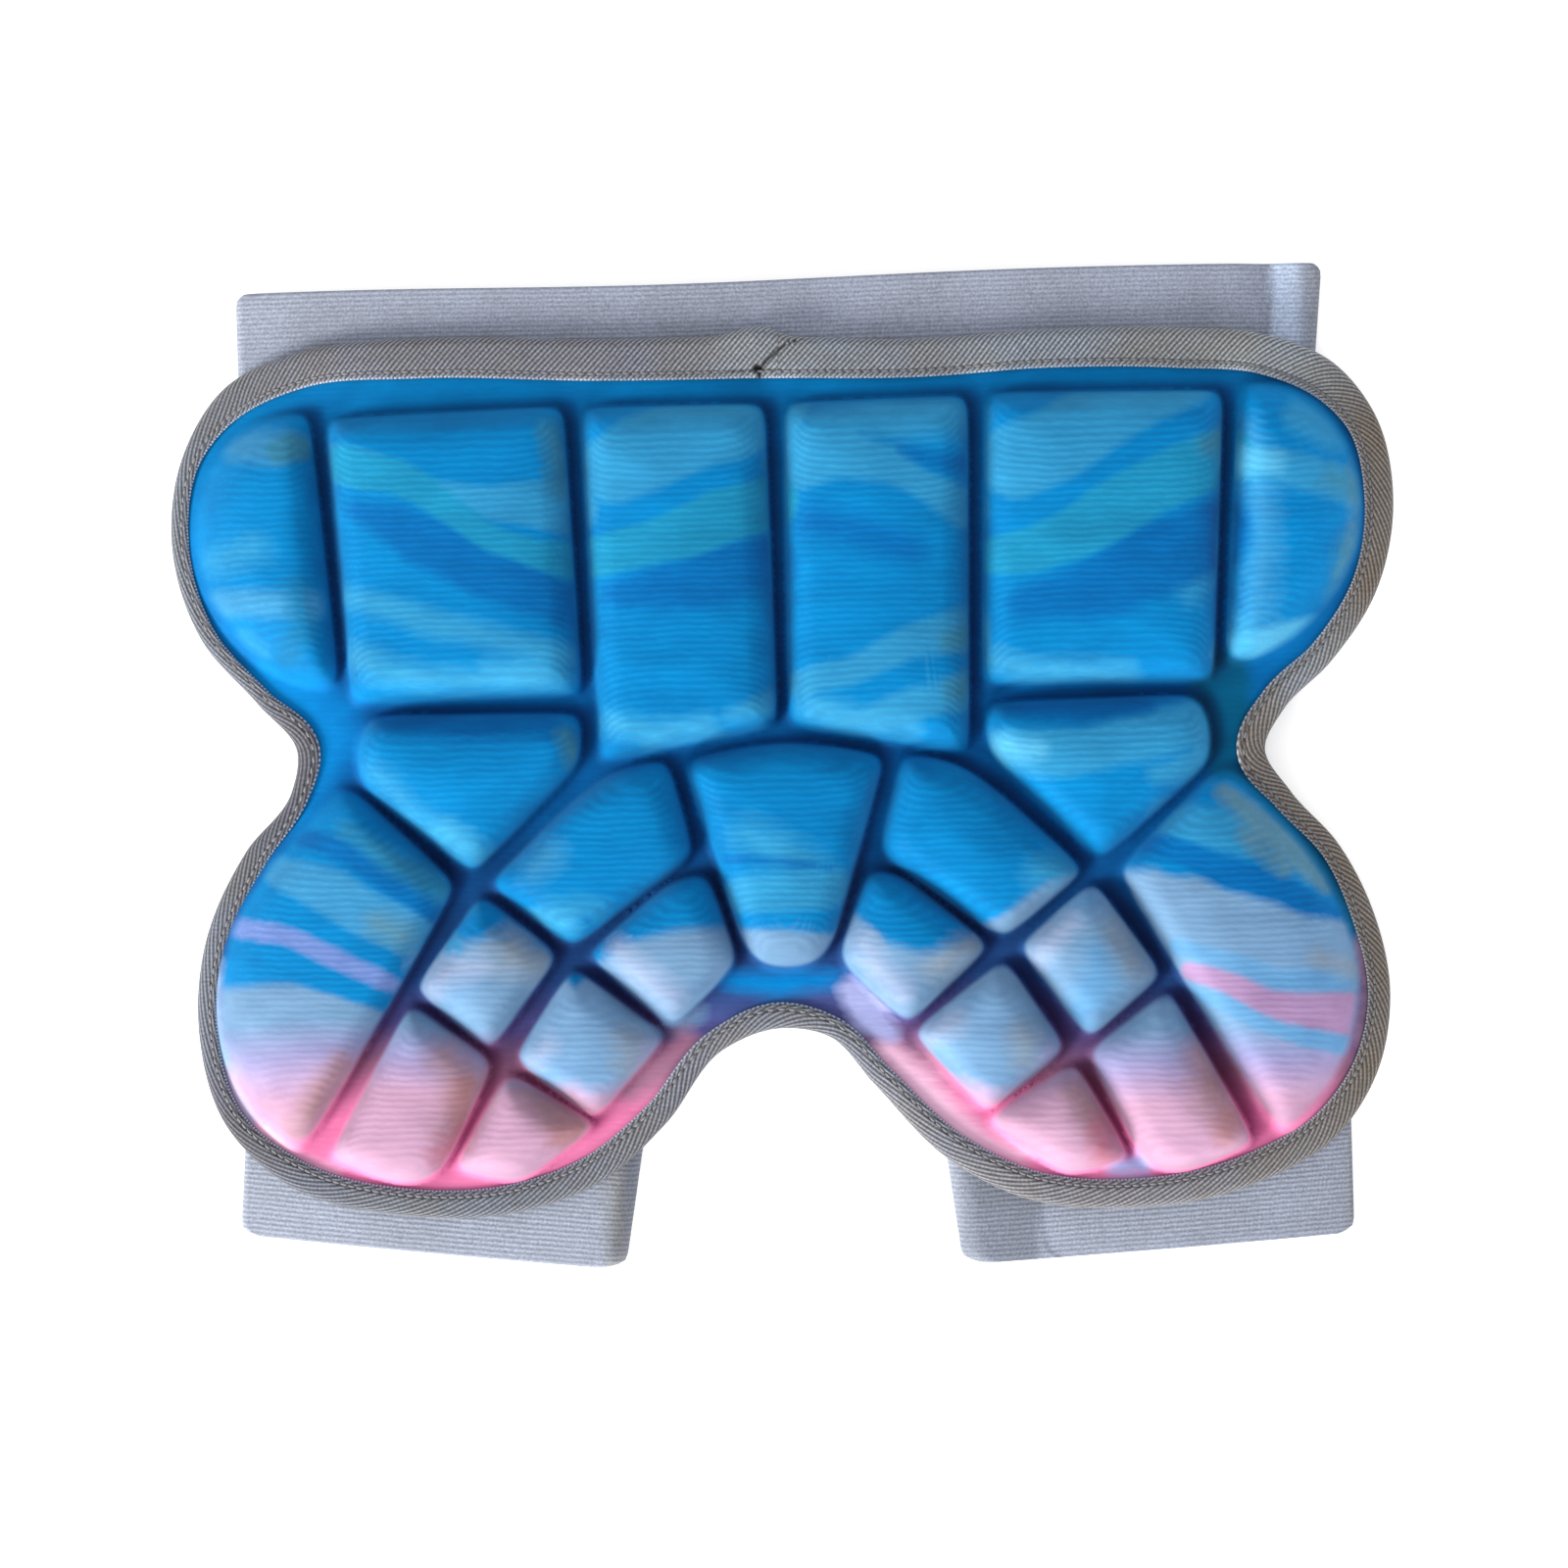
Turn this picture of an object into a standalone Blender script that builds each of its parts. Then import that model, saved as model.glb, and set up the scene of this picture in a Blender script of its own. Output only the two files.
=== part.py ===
"""A child's hip and tailbone pad, lying face up on a table.

One moulded foam pad with 23 raised cells, a tape folded over its whole edge, and three loops of
woven elastic behind it: one for the waist and one for each leg. The pad is arched like a saddle,
so that its side rims reach down to the table and its middle rides on the flattened loops.

Frame: metres, +Z up, standing on z = 0. X runs across the pad, +Y towards the waist. Tables are in
millimetres. The cells and the edge are given in the mould's own frame: across from the pad's
middle line, and along it, upwards from the middle of the pad. place_of then lays them on the table.
"""

import math
from collections import namedtuple

import bpy
import numpy as np
from mathutils import Vector
from mathutils.geometry import delaunay_2d_cdt

MM = 0.001

# How the pad lies: turned a little, with its middle line bent a little, where that line crosses
# the middle of the pad, and the shift of the whole that puts its box in the middle of the frame
TURN = math.radians(1.4)
BEND_PER_MM = math.radians(0.0046)
MIDDLE_X = 0.3
SHIFT_X = 0.17
SHIFT_Y = -0.385

# The arch of the pad's back
RIM_HEIGHT = 1.6
ARCH_RISE = 14.0
ARCH_HALF_WIDTH = 176.0
ARCH_POWER = 3.5

# Foam
FLANGE = 3.5
WALL_RISE = 8.5
WALL_RUN = 5.5
WALL_POWER = 2.4
CROWN_RISE = 4.5
CROWN_RUN = 8.0
CORNER_SHARPNESS = 0.5
RING_LEVELS = (0.0, 0.7, 2.4, 6.0, 14.0)
RING_SPACING = 8.2
FEWEST_SPOKES = 14
BACK_GRID = 24.0

# Binding tape
GAP = 0.3
TAPE = 1.2
BACK_LAP = 9.0
RIM_RUN = 3.2
TAPE_PUFF = 0.4
EDGE_STATIONS = 88
JOIN_RISE = 2.8
JOIN_LEFT = 16.0
JOIN_RIGHT = 10.0
JOIN_PEAK = -3.0

# Elastic
PLY = 1.5
LEG_LAP = 1.3
LEG_LAP_LENGTH = 24.0
LONGEST_FOLD = 6.5
FOLD_STEPS = 6
UPPER_STEPS = 13

Station = namedtuple("Station", "across along lap")
Corner = namedtuple("Corner", "across along slope")
Band = namedtuple("Band", "hidden_left hidden_right open_left open_right easing lap_length")

# The outer edge, clockwise from the join at the top, and how far the tape laps onto the front
EDGE = [
    Station(2, 120.5, 12),
    Station(40, 118.5, 11),
    Station(76.5, 120, 11),
    Station(114, 119.5, 11.5),
    Station(140, 117, 11.5),
    Station(159, 109, 11.5),
    Station(171, 94, 9.5),
    Station(175.5, 72, 9),
    Station(170, 45.5, 8),
    Station(155.5, 25, 7.5),
    Station(141.5, 12, 8),
    Station(136, 1.5, 8.5),
    Station(143, -10.5, 6.5),
    Station(156.5, -25.5, 6),
    Station(166.5, -45, 7),
    Station(171, -68, 7),
    Station(167, -89.5, 8),
    Station(154.5, -107.5, 9),
    Station(131, -120, 9),
    Station(97.5, -126, 8.5),
    Station(64.5, -122.5, 8.5),
    Station(44, -111.5, 8),
    Station(24, -89.5, 5.5),
    Station(11, -76.5, 6),
    Station(-3, -74, 7.5),
    Station(-18.5, -79.5, 6.5),
    Station(-35.5, -100.5, 7.5),
    Station(-54, -116.5, 8.5),
    Station(-76, -124.5, 8.5),
    Station(-107.5, -125.5, 8),
    Station(-142, -117, 8.5),
    Station(-160.5, -99.5, 6.5),
    Station(-168, -72, 6),
    Station(-165.5, -47, 6.5),
    Station(-153, -21, 7),
    Station(-139.5, -4.5, 5.5),
    Station(-137.5, 7, 7),
    Station(-148.5, 21, 5),
    Station(-164.5, 40, 5),
    Station(-172.5, 68, 5.5),
    Station(-168.5, 93, 6),
    Station(-155, 112.5, 10),
    Station(-134.5, 121, 10.5),
    Station(-100, 123.5, 11.5),
    Station(-50, 121.5, 12),
]

# Raised cells of the right half, clockwise from the top inner corner. slope is that of the wall
# from this corner to the next: 1 is a steep wall, and less falls away gently.
STEEP = 1.0
GENTLE = 0.42
SIDE_CELLS = {
    "hip": [
        Corner(131.5, 104, STEEP),
        Corner(144.5, 104, GENTLE),
        Corner(157, 98.5, GENTLE),
        Corner(165, 88, GENTLE),
        Corner(169, 71, GENTLE),
        Corner(167, 54.5, GENTLE),
        Corner(158.5, 41, GENTLE),
        Corner(142, 28, STEEP),
        Corner(130, 24, STEEP),
        Corner(125, 25.5, STEEP),
    ],
    "back_outer": [
        Corner(59.5, 102, STEEP),
        Corner(126, 101, STEEP),
        Corner(121, 20.5, STEEP),
        Corner(56.5, 21, STEEP),
    ],
    "back_inner": [
        Corner(3, 101, STEEP),
        Corner(54, 101.5, STEEP),
        Corner(51.5, 2, STEEP),
        Corner(2, 11, STEEP),
    ],
    "waist_outer": [
        Corner(57, 15.5, STEEP),
        Corner(116.5, 16.5, STEEP),
        Corner(120.5, 10, STEEP),
        Corner(120, -2, STEEP),
        Corner(88, -28.5, STEEP),
        Corner(57, 2, STEEP),
    ],
    "seat_top": [
        Corner(33, 2, STEEP),
        Corner(44.5, 1.5, STEEP),
        Corner(53, -2.5, STEEP),
        Corner(83.5, -31.5, STEEP),
        Corner(60.5, -50, STEEP),
        Corner(26, -25, STEEP),
    ],
    "seat_inner": [
        Corner(22.5, -30, STEEP),
        Corner(31, -30.5, STEEP),
        Corner(56.5, -52, STEEP),
        Corner(33, -73.5, STEEP),
        Corner(14, -55, STEEP),
    ],
    "seat_middle": [
        Corner(86, -34.5, STEEP),
        Corner(105, -61, STEEP),
        Corner(84, -78.5, STEEP),
        Corner(64.5, -52, STEEP),
    ],
    "seat_low_inner": [
        Corner(60.5, -55.5, STEEP),
        Corner(77.5, -81, STEEP),
        Corner(55, -98.5, STEEP),
        Corner(34.5, -75.5, STEEP),
    ],
    "leg_side": [
        Corner(123.5, -2, GENTLE),
        Corner(147, -21.5, GENTLE),
        Corner(160, -40, GENTLE),
        Corner(165, -62, GENTLE),
        Corner(161.5, -84, GENTLE),
        Corner(152, -99, GENTLE),
        Corner(135.5, -110, STEEP),
        Corner(110, -63.5, STEEP),
        Corner(91, -33.5, STEEP),
    ],
    "leg_outer": [
        Corner(106.5, -65, STEEP),
        Corner(130.5, -108.5, STEEP),
        Corner(108.5, -117, STEEP),
        Corner(99, -114, STEEP),
        Corner(83.5, -82, STEEP),
    ],
    "leg_inner": [
        Corner(79.5, -85, STEEP),
        Corner(95, -112, STEEP),
        Corner(76.5, -116.5, STEEP),
        Corner(54.5, -100, STEEP),
    ],
}
TAILBONE_CELL = [
    Corner(0, 7.5, STEEP),
    Corner(14, 6, STEEP),
    Corner(28, 2, STEEP),
    Corner(11.5, -53.5, STEEP),
    Corner(7, -57, STEEP),
    Corner(-7, -57, STEEP),
    Corner(-11.5, -53.5, STEEP),
    Corner(-28, 2, STEEP),
    Corner(-14, 6, STEEP),
]

# Flattened loops, by the corners of their outline on the table: hidden under the pad, or in the open
BANDS = {
    "waistband": Band((-154.5, 84), (150, 93), (-156, 134), (153.5, 143), 2.0, 0.0),
    "leg_band_left": Band((-152, -84), (-37.5, -92.5), (-154.5, -133.5), (-44.5, -142.5), 4.0, 0.0),
    "leg_band_right": Band((43.5, -91), (161.5, -83), (51, -141), (163, -133), 4.0, LEG_LAP_LENGTH),
}
# Where along a loop's width its sections stand, and how far towards the rounded corner each is
WIDTH_STATIONS = [(0.0, 1.0), (0.02, 0.45), (0.08, 0.0), (0.92, 0.0), (0.98, 0.45), (1.0, 1.0)]

FABRIC_BLUE = (0.010, 0.230, 0.620)
TAPE_TAUPE = (0.235, 0.215, 0.195)
ELASTIC_GRAY = (0.460, 0.480, 0.550)


def place_of(across, along):
    """Where a point of the mould's frame lies on the table, before the shift of the whole."""
    turn = TURN + BEND_PER_MM * along
    middle = MIDDLE_X - TURN * along - BEND_PER_MM * along**2 / 2
    return middle + across * np.cos(turn), along + across * np.sin(turn)


def mould_place(x, y):
    """The reverse of place_of, by a few rounds of correction."""
    across, along = x, y
    for _ in range(6):
        at_x, at_y = place_of(across, along)
        across = across + x - at_x
        along = along + y - at_y
    return across, along


def back_height(across):
    return RIM_HEIGHT + ARCH_RISE * (1 - (np.abs(across) / ARCH_HALF_WIDTH) ** ARCH_POWER)


def cell_rise(depth):
    """Height of a cell above the flange at this distance in from its foot."""
    wall = 1 - np.clip(depth / WALL_RUN, 0, 1)
    crown = 1 - np.exp(-np.maximum(depth, 0) / CROWN_RUN)
    return WALL_RISE * (1 - wall**WALL_POWER) ** (1 / WALL_POWER) + CROWN_RISE * crown


def closed_curve(rows, count):
    """Evenly spaced points on a smooth closed curve through the rows, with the rows' columns."""
    rows = np.array(rows, float)
    after = np.roll(rows, -1, axis=0) - rows
    chord = np.hypot(after[:, 0], after[:, 1])[:, None]
    before = np.roll(after, 1, axis=0)
    before_chord = np.roll(chord, 1, axis=0)
    tangent = (before / before_chord * chord + after / chord * before_chord) / (chord + before_chord)
    steps = 16
    pieces = []
    for t in np.arange(steps) / steps:
        pieces.append(
            (2 * t**3 - 3 * t**2 + 1) * rows
            + (t**3 - 2 * t**2 + t) * chord * tangent
            + (3 * t**2 - 2 * t**3) * np.roll(rows, -1, axis=0)
            + (t**3 - t**2) * chord * np.roll(tangent, -1, axis=0)
        )
    fine = np.stack(pieces, axis=1).reshape(-1, rows.shape[1])
    ends = np.vstack([fine, fine[:1]])
    run = np.concatenate([[0], np.cumsum(np.hypot(*np.diff(ends[:, :2], axis=0).T))])
    at = np.arange(count) * run[-1] / count
    return np.stack([np.interp(at, run, column) for column in ends.T], axis=1)


def inward_of(points):
    """Unit directions into the pad along its clockwise edge."""
    along = np.roll(points, -1, axis=0)[:, :2] - np.roll(points, 1, axis=0)[:, :2]
    along /= np.hypot(along[:, 0], along[:, 1])[:, None]
    return np.stack([along[:, 1], -along[:, 0]], axis=1)


def depth_in(corners, across, along):
    """Distance in from a cell's foot, with its corners rounded by blending its sides."""
    total = 0.0
    for corner, after in zip(corners, corners[1:] + corners[:1]):
        side = Vector((after.across - corner.across, after.along - corner.along)).normalized()
        inside = (across - corner.across) * side.y - (along - corner.along) * side.x
        total = total + np.exp(-CORNER_SHARPNESS * corner.slope * inside)
    return -np.log(total) / CORNER_SHARPNESS


def ring_of(corners, middle, level, count):
    """Points at one level of a cell, evenly spaced, or None where the cell isn't that deep."""
    if depth_in(corners, *middle) <= level:
        return None
    angles = np.linspace(0, 2 * math.pi, 160, endpoint=False)
    near = np.zeros_like(angles)
    far = np.full_like(angles, 120.0)
    for _ in range(30):
        half = (near + far) / 2
        deep = depth_in(corners, middle[0] + half * np.cos(angles), middle[1] + half * np.sin(angles))
        near = np.where(deep > level, half, near)
        far = np.where(deep > level, far, half)
    ring = np.stack([middle[0] + near * np.cos(angles), middle[1] + near * np.sin(angles)], axis=1)
    ends = np.vstack([ring, ring[:1]])
    run = np.concatenate([[0], np.cumsum(np.hypot(*np.diff(ends, axis=0).T))])
    at = np.arange(count) * run[-1] / count
    return np.stack([np.interp(at, run, column) for column in ends.T], axis=1)


def mirrored(corners):
    """The same cell on the left half, still clockwise."""
    befores = corners[-1:] + corners[:-1]
    flipped = [Corner(-corner.across, corner.along, before.slope) for corner, before in zip(corners, befores)]
    return flipped[::-1]


def all_cells():
    return [*SIDE_CELLS.values(), *map(mirrored, SIDE_CELLS.values()), TAILBONE_CELL]


def triangulated(points, loops):
    """Triangles between the points, inside the outermost loop and along every loop."""
    edges = [(a, b) for loop in loops for a, b in zip(loop, loop[1:] + loop[:1])]
    flat = [Vector(point) for point in points]
    verts, _, faces, _, _, _ = delaunay_2d_cdt(flat, edges, [], 1, 1e-6)
    assert len(verts) == len(points)
    return [list(face) for face in faces]


def new_object(name, verts, faces, material):
    """A closed mesh, its points in millimetres, with its faces turned outwards by the caller."""
    mesh = bpy.data.meshes.new(name)
    placed = (np.array(verts) + (SHIFT_X, SHIFT_Y, 0.0)) * MM
    mesh.from_pydata(placed.tolist(), [], faces)
    mesh.validate()
    mesh.shade_smooth()
    mesh.set_sharp_from_angle(angle=math.radians(50))
    mesh.materials.append(material)
    obj = bpy.data.objects.new(name, mesh)
    bpy.context.scene.collection.objects.link(obj)
    return obj


def new_material(name, colour, roughness):
    material = bpy.data.materials.new(name)
    material.use_nodes = True
    shader = material.node_tree.nodes["Principled BSDF"]
    shader.inputs["Base Color"].default_value = (*colour, 1)
    shader.inputs["Roughness"].default_value = roughness
    return material


def pad_edge():
    """The cut edge of the foam, just inside the tape."""
    edge = closed_curve(EDGE, EDGE_STATIONS)
    return edge[:, :2] + inward_of(edge) * (TAPE + GAP)


def pad_front():
    """Points, heights above the pad's back and triangles of the front, the edge's points first."""
    points = [tuple(point) for point in pad_edge()]
    rise = [FLANGE] * len(points)
    loops = [list(range(len(points)))]
    for corners in all_cells():
        middle = np.mean([corner[:2] for corner in corners], axis=0)
        foot = ring_of(corners, middle, 0.0, 160)
        around = np.hypot(*(np.roll(foot, -1, axis=0) - foot).T).sum()
        spokes = max(FEWEST_SPOKES, round(around / RING_SPACING))
        for level in RING_LEVELS:
            ring = ring_of(corners, middle, level, spokes)
            if ring is None:
                break
            loops.append([len(points) + i for i in range(spokes)])
            points += [tuple(point) for point in ring]
            rise += [FLANGE + cell_rise(level)] * spokes
        points.append(tuple(middle))
        rise.append(FLANGE + cell_rise(depth_in(corners, *middle)))
    return points, rise, triangulated(points, loops)


def pad_back():
    """Points and triangles of the plain back, the edge's points first."""
    edge = [tuple(point) for point in pad_edge()]
    loop = list(range(len(edge)))
    inside = []
    ring = np.array(edge)
    for across in np.arange(-156, 157, BACK_GRID):
        for along in np.arange(-108, 109, BACK_GRID):
            offset = ring - (across, along)
            after = np.roll(offset, -1, axis=0)
            turns = np.arctan2(offset[:, 0] * after[:, 1] - offset[:, 1] * after[:, 0], (offset * after).sum(1))
            clear = np.hypot(*offset.T).min() > BACK_GRID / 3
            if abs(turns.sum()) > math.pi and clear:
                inside.append((across, along))
    points = edge + inside
    return points, triangulated(points, [loop])


def on_table(points, heights):
    """Points of the mould's frame, at heights above the pad's back, as x, y and z on the table."""
    across, along = np.array(points, float).T
    x, y = place_of(across, along)
    return np.stack([x, y, back_height(across) + heights], axis=1)


def build_pad(material):
    front, rise, front_faces = pad_front()
    back, back_faces = pad_back()
    verts = np.vstack([on_table(front, np.array(rise)), on_table(back, 0.0)])
    start = len(front)
    faces = list(front_faces)
    faces += [[start + corner for corner in reversed(face)] for face in back_faces]
    for i in range(EDGE_STATIONS):
        after = (i + 1) % EDGE_STATIONS
        faces.append([i, after, start + after, start + i])
    return new_object("moulded_pad", verts.tolist(), faces, material)


def tape_section(lap, bulge):
    """The folded tape cut across: distance in from its outer line, and height above the pad's back."""
    front = FLANGE + GAP
    middle = FLANGE / 2
    half = FLANGE / 2 + GAP + TAPE
    outside = [(lap, front + 0.7 * TAPE), (lap - 1.0, front + TAPE), (0.6 * lap, front + TAPE + TAPE_PUFF)]
    for degrees in (90, 60, 30, 0, -30, -60, -90):
        angle = math.radians(degrees)
        outside.append((RIM_RUN * (1 - math.cos(angle)), middle + half * math.sin(angle)))
    outside += [(BACK_LAP - 1.0, -GAP - TAPE), (BACK_LAP, -GAP - 0.7 * TAPE)]
    outside = [(inward - bulge * max(0.0, 1 - inward / lap), height) for inward, height in outside]
    inside = [(BACK_LAP, -GAP), (TAPE, -GAP), (TAPE, front), (lap, front)]
    return outside + inside


def join_bulge(across, along):
    """How far the lapped join swells outwards here."""
    if along < 0 or not JOIN_PEAK - JOIN_LEFT < across < JOIN_PEAK + JOIN_RIGHT:
        return 0.0
    reach = JOIN_LEFT if across < JOIN_PEAK else JOIN_RIGHT
    return JOIN_RISE * math.cos((across - JOIN_PEAK) / reach * math.pi / 2) ** 2


def build_binding(material):
    edge = closed_curve(EDGE, EDGE_STATIONS)
    inward = inward_of(edge)
    verts = []
    for (across, along, lap), into in zip(edge, inward):
        section = tape_section(lap, join_bulge(across, along))
        points = [(across + into[0] * n, along + into[1] * n) for n, _ in section]
        verts.append(on_table(points, np.array([height for _, height in section])))
    size = len(verts[0])
    faces = []
    for i in range(EDGE_STATIONS):
        for j in range(size):
            a = i * size + j
            b = i * size + (j + 1) % size
            c = (i + 1) % EDGE_STATIONS * size + (j + 1) % size
            d = (i + 1) % EDGE_STATIONS * size + j
            faces.append([d, c, b, a])
    return new_object("edge_binding", np.vstack(verts).tolist(), faces, material)


def under_pad(x, y):
    """The highest that a loop's upper ply may lie here."""
    across, _ = mould_place(x, y)
    return back_height(across) - GAP - TAPE - GAP


def band_section(left, right, lap_length):
    """Outer and inner outline of a flattened loop, as (x, y, z), where its width is crossed here."""
    left = np.array(left, float)
    right = np.array(right, float)
    length = np.hypot(*(right - left))
    ahead = (right - left) / length
    lap = LEG_LAP if lap_length else 0.0

    def top(run):
        sink = lap if run > lap_length else 0.0
        return under_pad(*(left + ahead * run)) - sink

    left_fold = min(LONGEST_FOLD, top(0.0) / 2)
    right_fold = min(LONGEST_FOLD, top(length) / 2)
    outer = [(left_fold, 0.0), (length - right_fold, 0.0)]
    inner = [(left_fold, PLY), (length - right_fold, PLY)]

    def fold(centre, reach, height, start, wall):
        for step in range(1, FOLD_STEPS):
            angle = start + math.pi * step / FOLD_STEPS
            level = math.sin(angle)
            thick = PLY + wall * (1 + level) / 2
            slim = max(0.12, 1 - thick / reach)
            low = max(0.12, 1 - thick / (height / 2))
            outer.append((centre + reach * math.cos(angle), height / 2 * (1 + level)))
            inner.append((centre + reach * slim * math.cos(angle), height / 2 * (1 + low * level)))

    fold(length - right_fold, right_fold, top(length - right_fold), -math.pi / 2, 0.0)
    runs = list(np.linspace(length - right_fold, left_fold, UPPER_STEPS))
    if lap_length:
        runs = sorted([*runs, lap_length - 0.3, lap_length + 0.3], reverse=True)
    for run in runs:
        outer.append((run, top(run)))
        inner.append((run, under_pad(*(left + ahead * run)) - lap - PLY))
    fold(left_fold, left_fold, top(left_fold), math.pi / 2, lap)

    def in_space(rows):
        return [(*(left + ahead * run), height) for run, height in rows]

    return in_space(outer), in_space(inner)


def build_band(name, band, material):
    """A loop of elastic, skinned outside and inside, with its selvedges closed."""
    sections = []
    faces_waist = band.open_left[1] > band.hidden_left[1]
    for share, rounding in reversed(WIDTH_STATIONS) if faces_waist else WIDTH_STATIONS:
        left = np.array(band.hidden_left) * (1 - share) + np.array(band.open_left) * share
        right = np.array(band.hidden_right) * (1 - share) + np.array(band.open_right) * share
        ease = (right - left) / np.hypot(*(right - left)) * band.easing * rounding
        sections.append(band_section(left + ease, right - ease, band.lap_length))
    size = len(sections[0][0])
    verts = [vert for outer, inner in sections for vert in outer + inner]
    last = len(sections) - 1
    faces = []
    for i in range(size):
        after = (i + 1) % size
        for j in range(last):
            here = j * 2 * size
            there = (j + 1) * 2 * size
            faces.append([here + i, here + after, there + after, there + i])
            faces.append([here + size + after, here + size + i, there + size + i, there + size + after])
        faces.append([after, i, size + i, size + after])
        end = last * 2 * size
        faces.append([end + i, end + after, end + size + after, end + size + i])
    return new_object(name, verts, faces, material)


def main():
    for obj in list(bpy.data.objects):
        bpy.data.objects.remove(obj, do_unlink=True)
    fabric = new_material("fabric_laminate", FABRIC_BLUE, 0.75)
    tape = new_material("binding_tape", TAPE_TAUPE, 0.9)
    elastic = new_material("woven_elastic", ELASTIC_GRAY, 0.85)
    build_pad(fabric)
    build_binding(tape)
    for name, band in BANDS.items():
        build_band(name, band, elastic)


main()
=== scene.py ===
"""The looks of a child's hip and tailbone pad that lies face up on a table.

The five CAD nodes are replaced by finer meshes on the same lines: the moulded pad with its printed
ribbed knit, the folded tape round its edge, and three flattened loops of ribbed elastic. Tables are
in millimetres and repeat the part's own. The mould's frame has across from the pad's middle line and
along upwards from its middle. place_of lays it on the table. The print is charted in pixels of the
photograph's frame, 1600 a side, which the camera model below turns into places on the pad.
"""

import math
from collections import namedtuple

import bpy
import numpy as np
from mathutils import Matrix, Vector
from mathutils.geometry import delaunay_2d_cdt


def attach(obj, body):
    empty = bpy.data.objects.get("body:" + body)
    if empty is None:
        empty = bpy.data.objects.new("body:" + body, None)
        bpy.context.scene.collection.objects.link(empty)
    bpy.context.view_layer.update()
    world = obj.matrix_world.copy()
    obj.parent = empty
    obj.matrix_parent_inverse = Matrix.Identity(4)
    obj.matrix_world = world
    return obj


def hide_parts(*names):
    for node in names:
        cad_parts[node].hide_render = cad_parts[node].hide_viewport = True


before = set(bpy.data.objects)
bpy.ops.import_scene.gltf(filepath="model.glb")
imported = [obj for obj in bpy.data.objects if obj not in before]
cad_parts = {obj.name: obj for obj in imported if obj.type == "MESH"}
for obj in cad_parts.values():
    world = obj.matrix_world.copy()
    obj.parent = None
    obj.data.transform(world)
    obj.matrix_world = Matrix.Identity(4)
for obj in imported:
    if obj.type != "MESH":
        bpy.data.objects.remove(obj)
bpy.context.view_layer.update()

MM = 0.001

# Camera straight above, and the scale of the photograph's frame on the table
CAMERA_HEIGHT = 1100.0
MM_PER_PIXEL = 0.28
FRAME_PIXELS = 1600
CAMERA_X = 0.45
CAMERA_Y = -5.7
SENSOR = 36.0

# Studio lights: name, turn anticlockwise from the row's X and rise above the floor in degrees,
# distance and size in metres, and power in watts
LIGHTS = [
    ("key", 212, 21, 3.4, 1.3, 225),
    ("low", 262, 21, 3.4, 1.3, 100),
]
WORLD_LEVEL = 1.25
LIGHT_COLOUR = (1.0, 0.98, 0.88)
FLOOR_GLOW = 0.3

# How the pad lies
TURN = math.radians(1.4)
BEND_PER_MM = math.radians(0.0046)
MIDDLE_X = 0.3
SHIFT_X = 0.17
SHIFT_Y = -0.385
RIM_HEIGHT = 1.6
ARCH_RISE = 14.0
ARCH_HALF_WIDTH = 176.0
ARCH_POWER = 3.5

# Foam
FLANGE = 3.5
WALL_RISE = 8.0
WALL_RUN = 7.4
WALL_SHAPE = 2.3
FOOT_OUT = 1.1
FOOT_EASE = 0.3
CROWN_RISE = 5.2
CROWN_RUN = 10.0
CORNER_SHARPNESS = 0.5
RING_LEVELS = (
    -0.6, -0.25, 0, 0.4, 0.8, 1.2, 1.7, 2.2, 2.8, 3.5, 4.3, 5.2, 6.3, 7.6, 9, 10.6, 12.5, 14.5, 16.5, 18.5, 20.5, 22.5, 24.5,
    26.5,
)
FILL_SPACING = 1.7
SPOKE_SPACING = 1.2
WEB_SPACING = 1.0
BACK_SPACING = 6.0
PAD_STATIONS = 560

# Knit
RIB_PITCH = 1.8
RIB_BOW = 1.15
# Painted shade in the grooves: how much darker the cloth is painted down in a groove, by red, green
# and blue, the shares of it that come from the groove's narrowness and from the wall on the key
# light's side, and the width at which the first has faded
GROOVE_PAINTED_SHADE = (1.7, 2.6, 2.0)
NARROW_SHARE = 0.5
WALL_SHARE = 0.6
GROOVE_WIDTH = 5.5
PRINT_SWAY = 2.0
DYE_DEPTH = 0.55

# Binding tape
GAP = 0.3
TAPE = 1.2
BACK_LAP = 9.0
RIM_RUN = 3.2
TAPE_PUFF = 0.55
TAPE_STATIONS = 1100
TWILL_PITCH = 1.22
# Slant of the twill to the tape's length, by the tape's heading, in degrees
TWILL_HEADINGS = (-180, -135, -90, -45, 0, 45, 90, 135, 180)
TWILL_SLANTS = (26, 26, 28, 38, 50, 26, 8, 10, 26)
STITCH_PITCH = 2.5
STITCH_SIZE = (1.05, 0.42, 0.38)
# The lapped end's folded edge, in pixels of the frame from the top down, and its thickness
JOIN_EDGE_DOWN = (344, 347, 350, 354, 361, 369, 378)
JOIN_EDGE_RIGHT = (826, 812, 803, 796, 788, 779, 773)
JOIN_PLY = 1.0
JOIN_HOLE = (773, 376)
SEAM_IN = 1.9
SEAM_DIP = 0.45
JOIN_RISE = 2.8
JOIN_LEFT = 16.0
JOIN_RIGHT = 10.0
JOIN_PEAK = -3.0

# Elastic
PLY = 1.5
LEG_LAP = 0.35
LEG_LAP_LENGTH = 24.0
LONGEST_FOLD = 6.5
ELASTIC_RIB = 1.4
# The waistband's open edge sags: where across, over what width and how far
SAG_MIDDLE = -38.0
SAG_WIDTH = 75.0
SAG_DEPTH = 1.9
# and its upper ply has a crease this far from the right fold, this wide and this deep
CREASE_IN = 14.5
CREASE_WIDTH = 9.0
CREASE_DEPTH = 1.7
ELASTIC_THREAD = 1.15

Stretch = namedtuple("Stretch", "tone right down")
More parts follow.
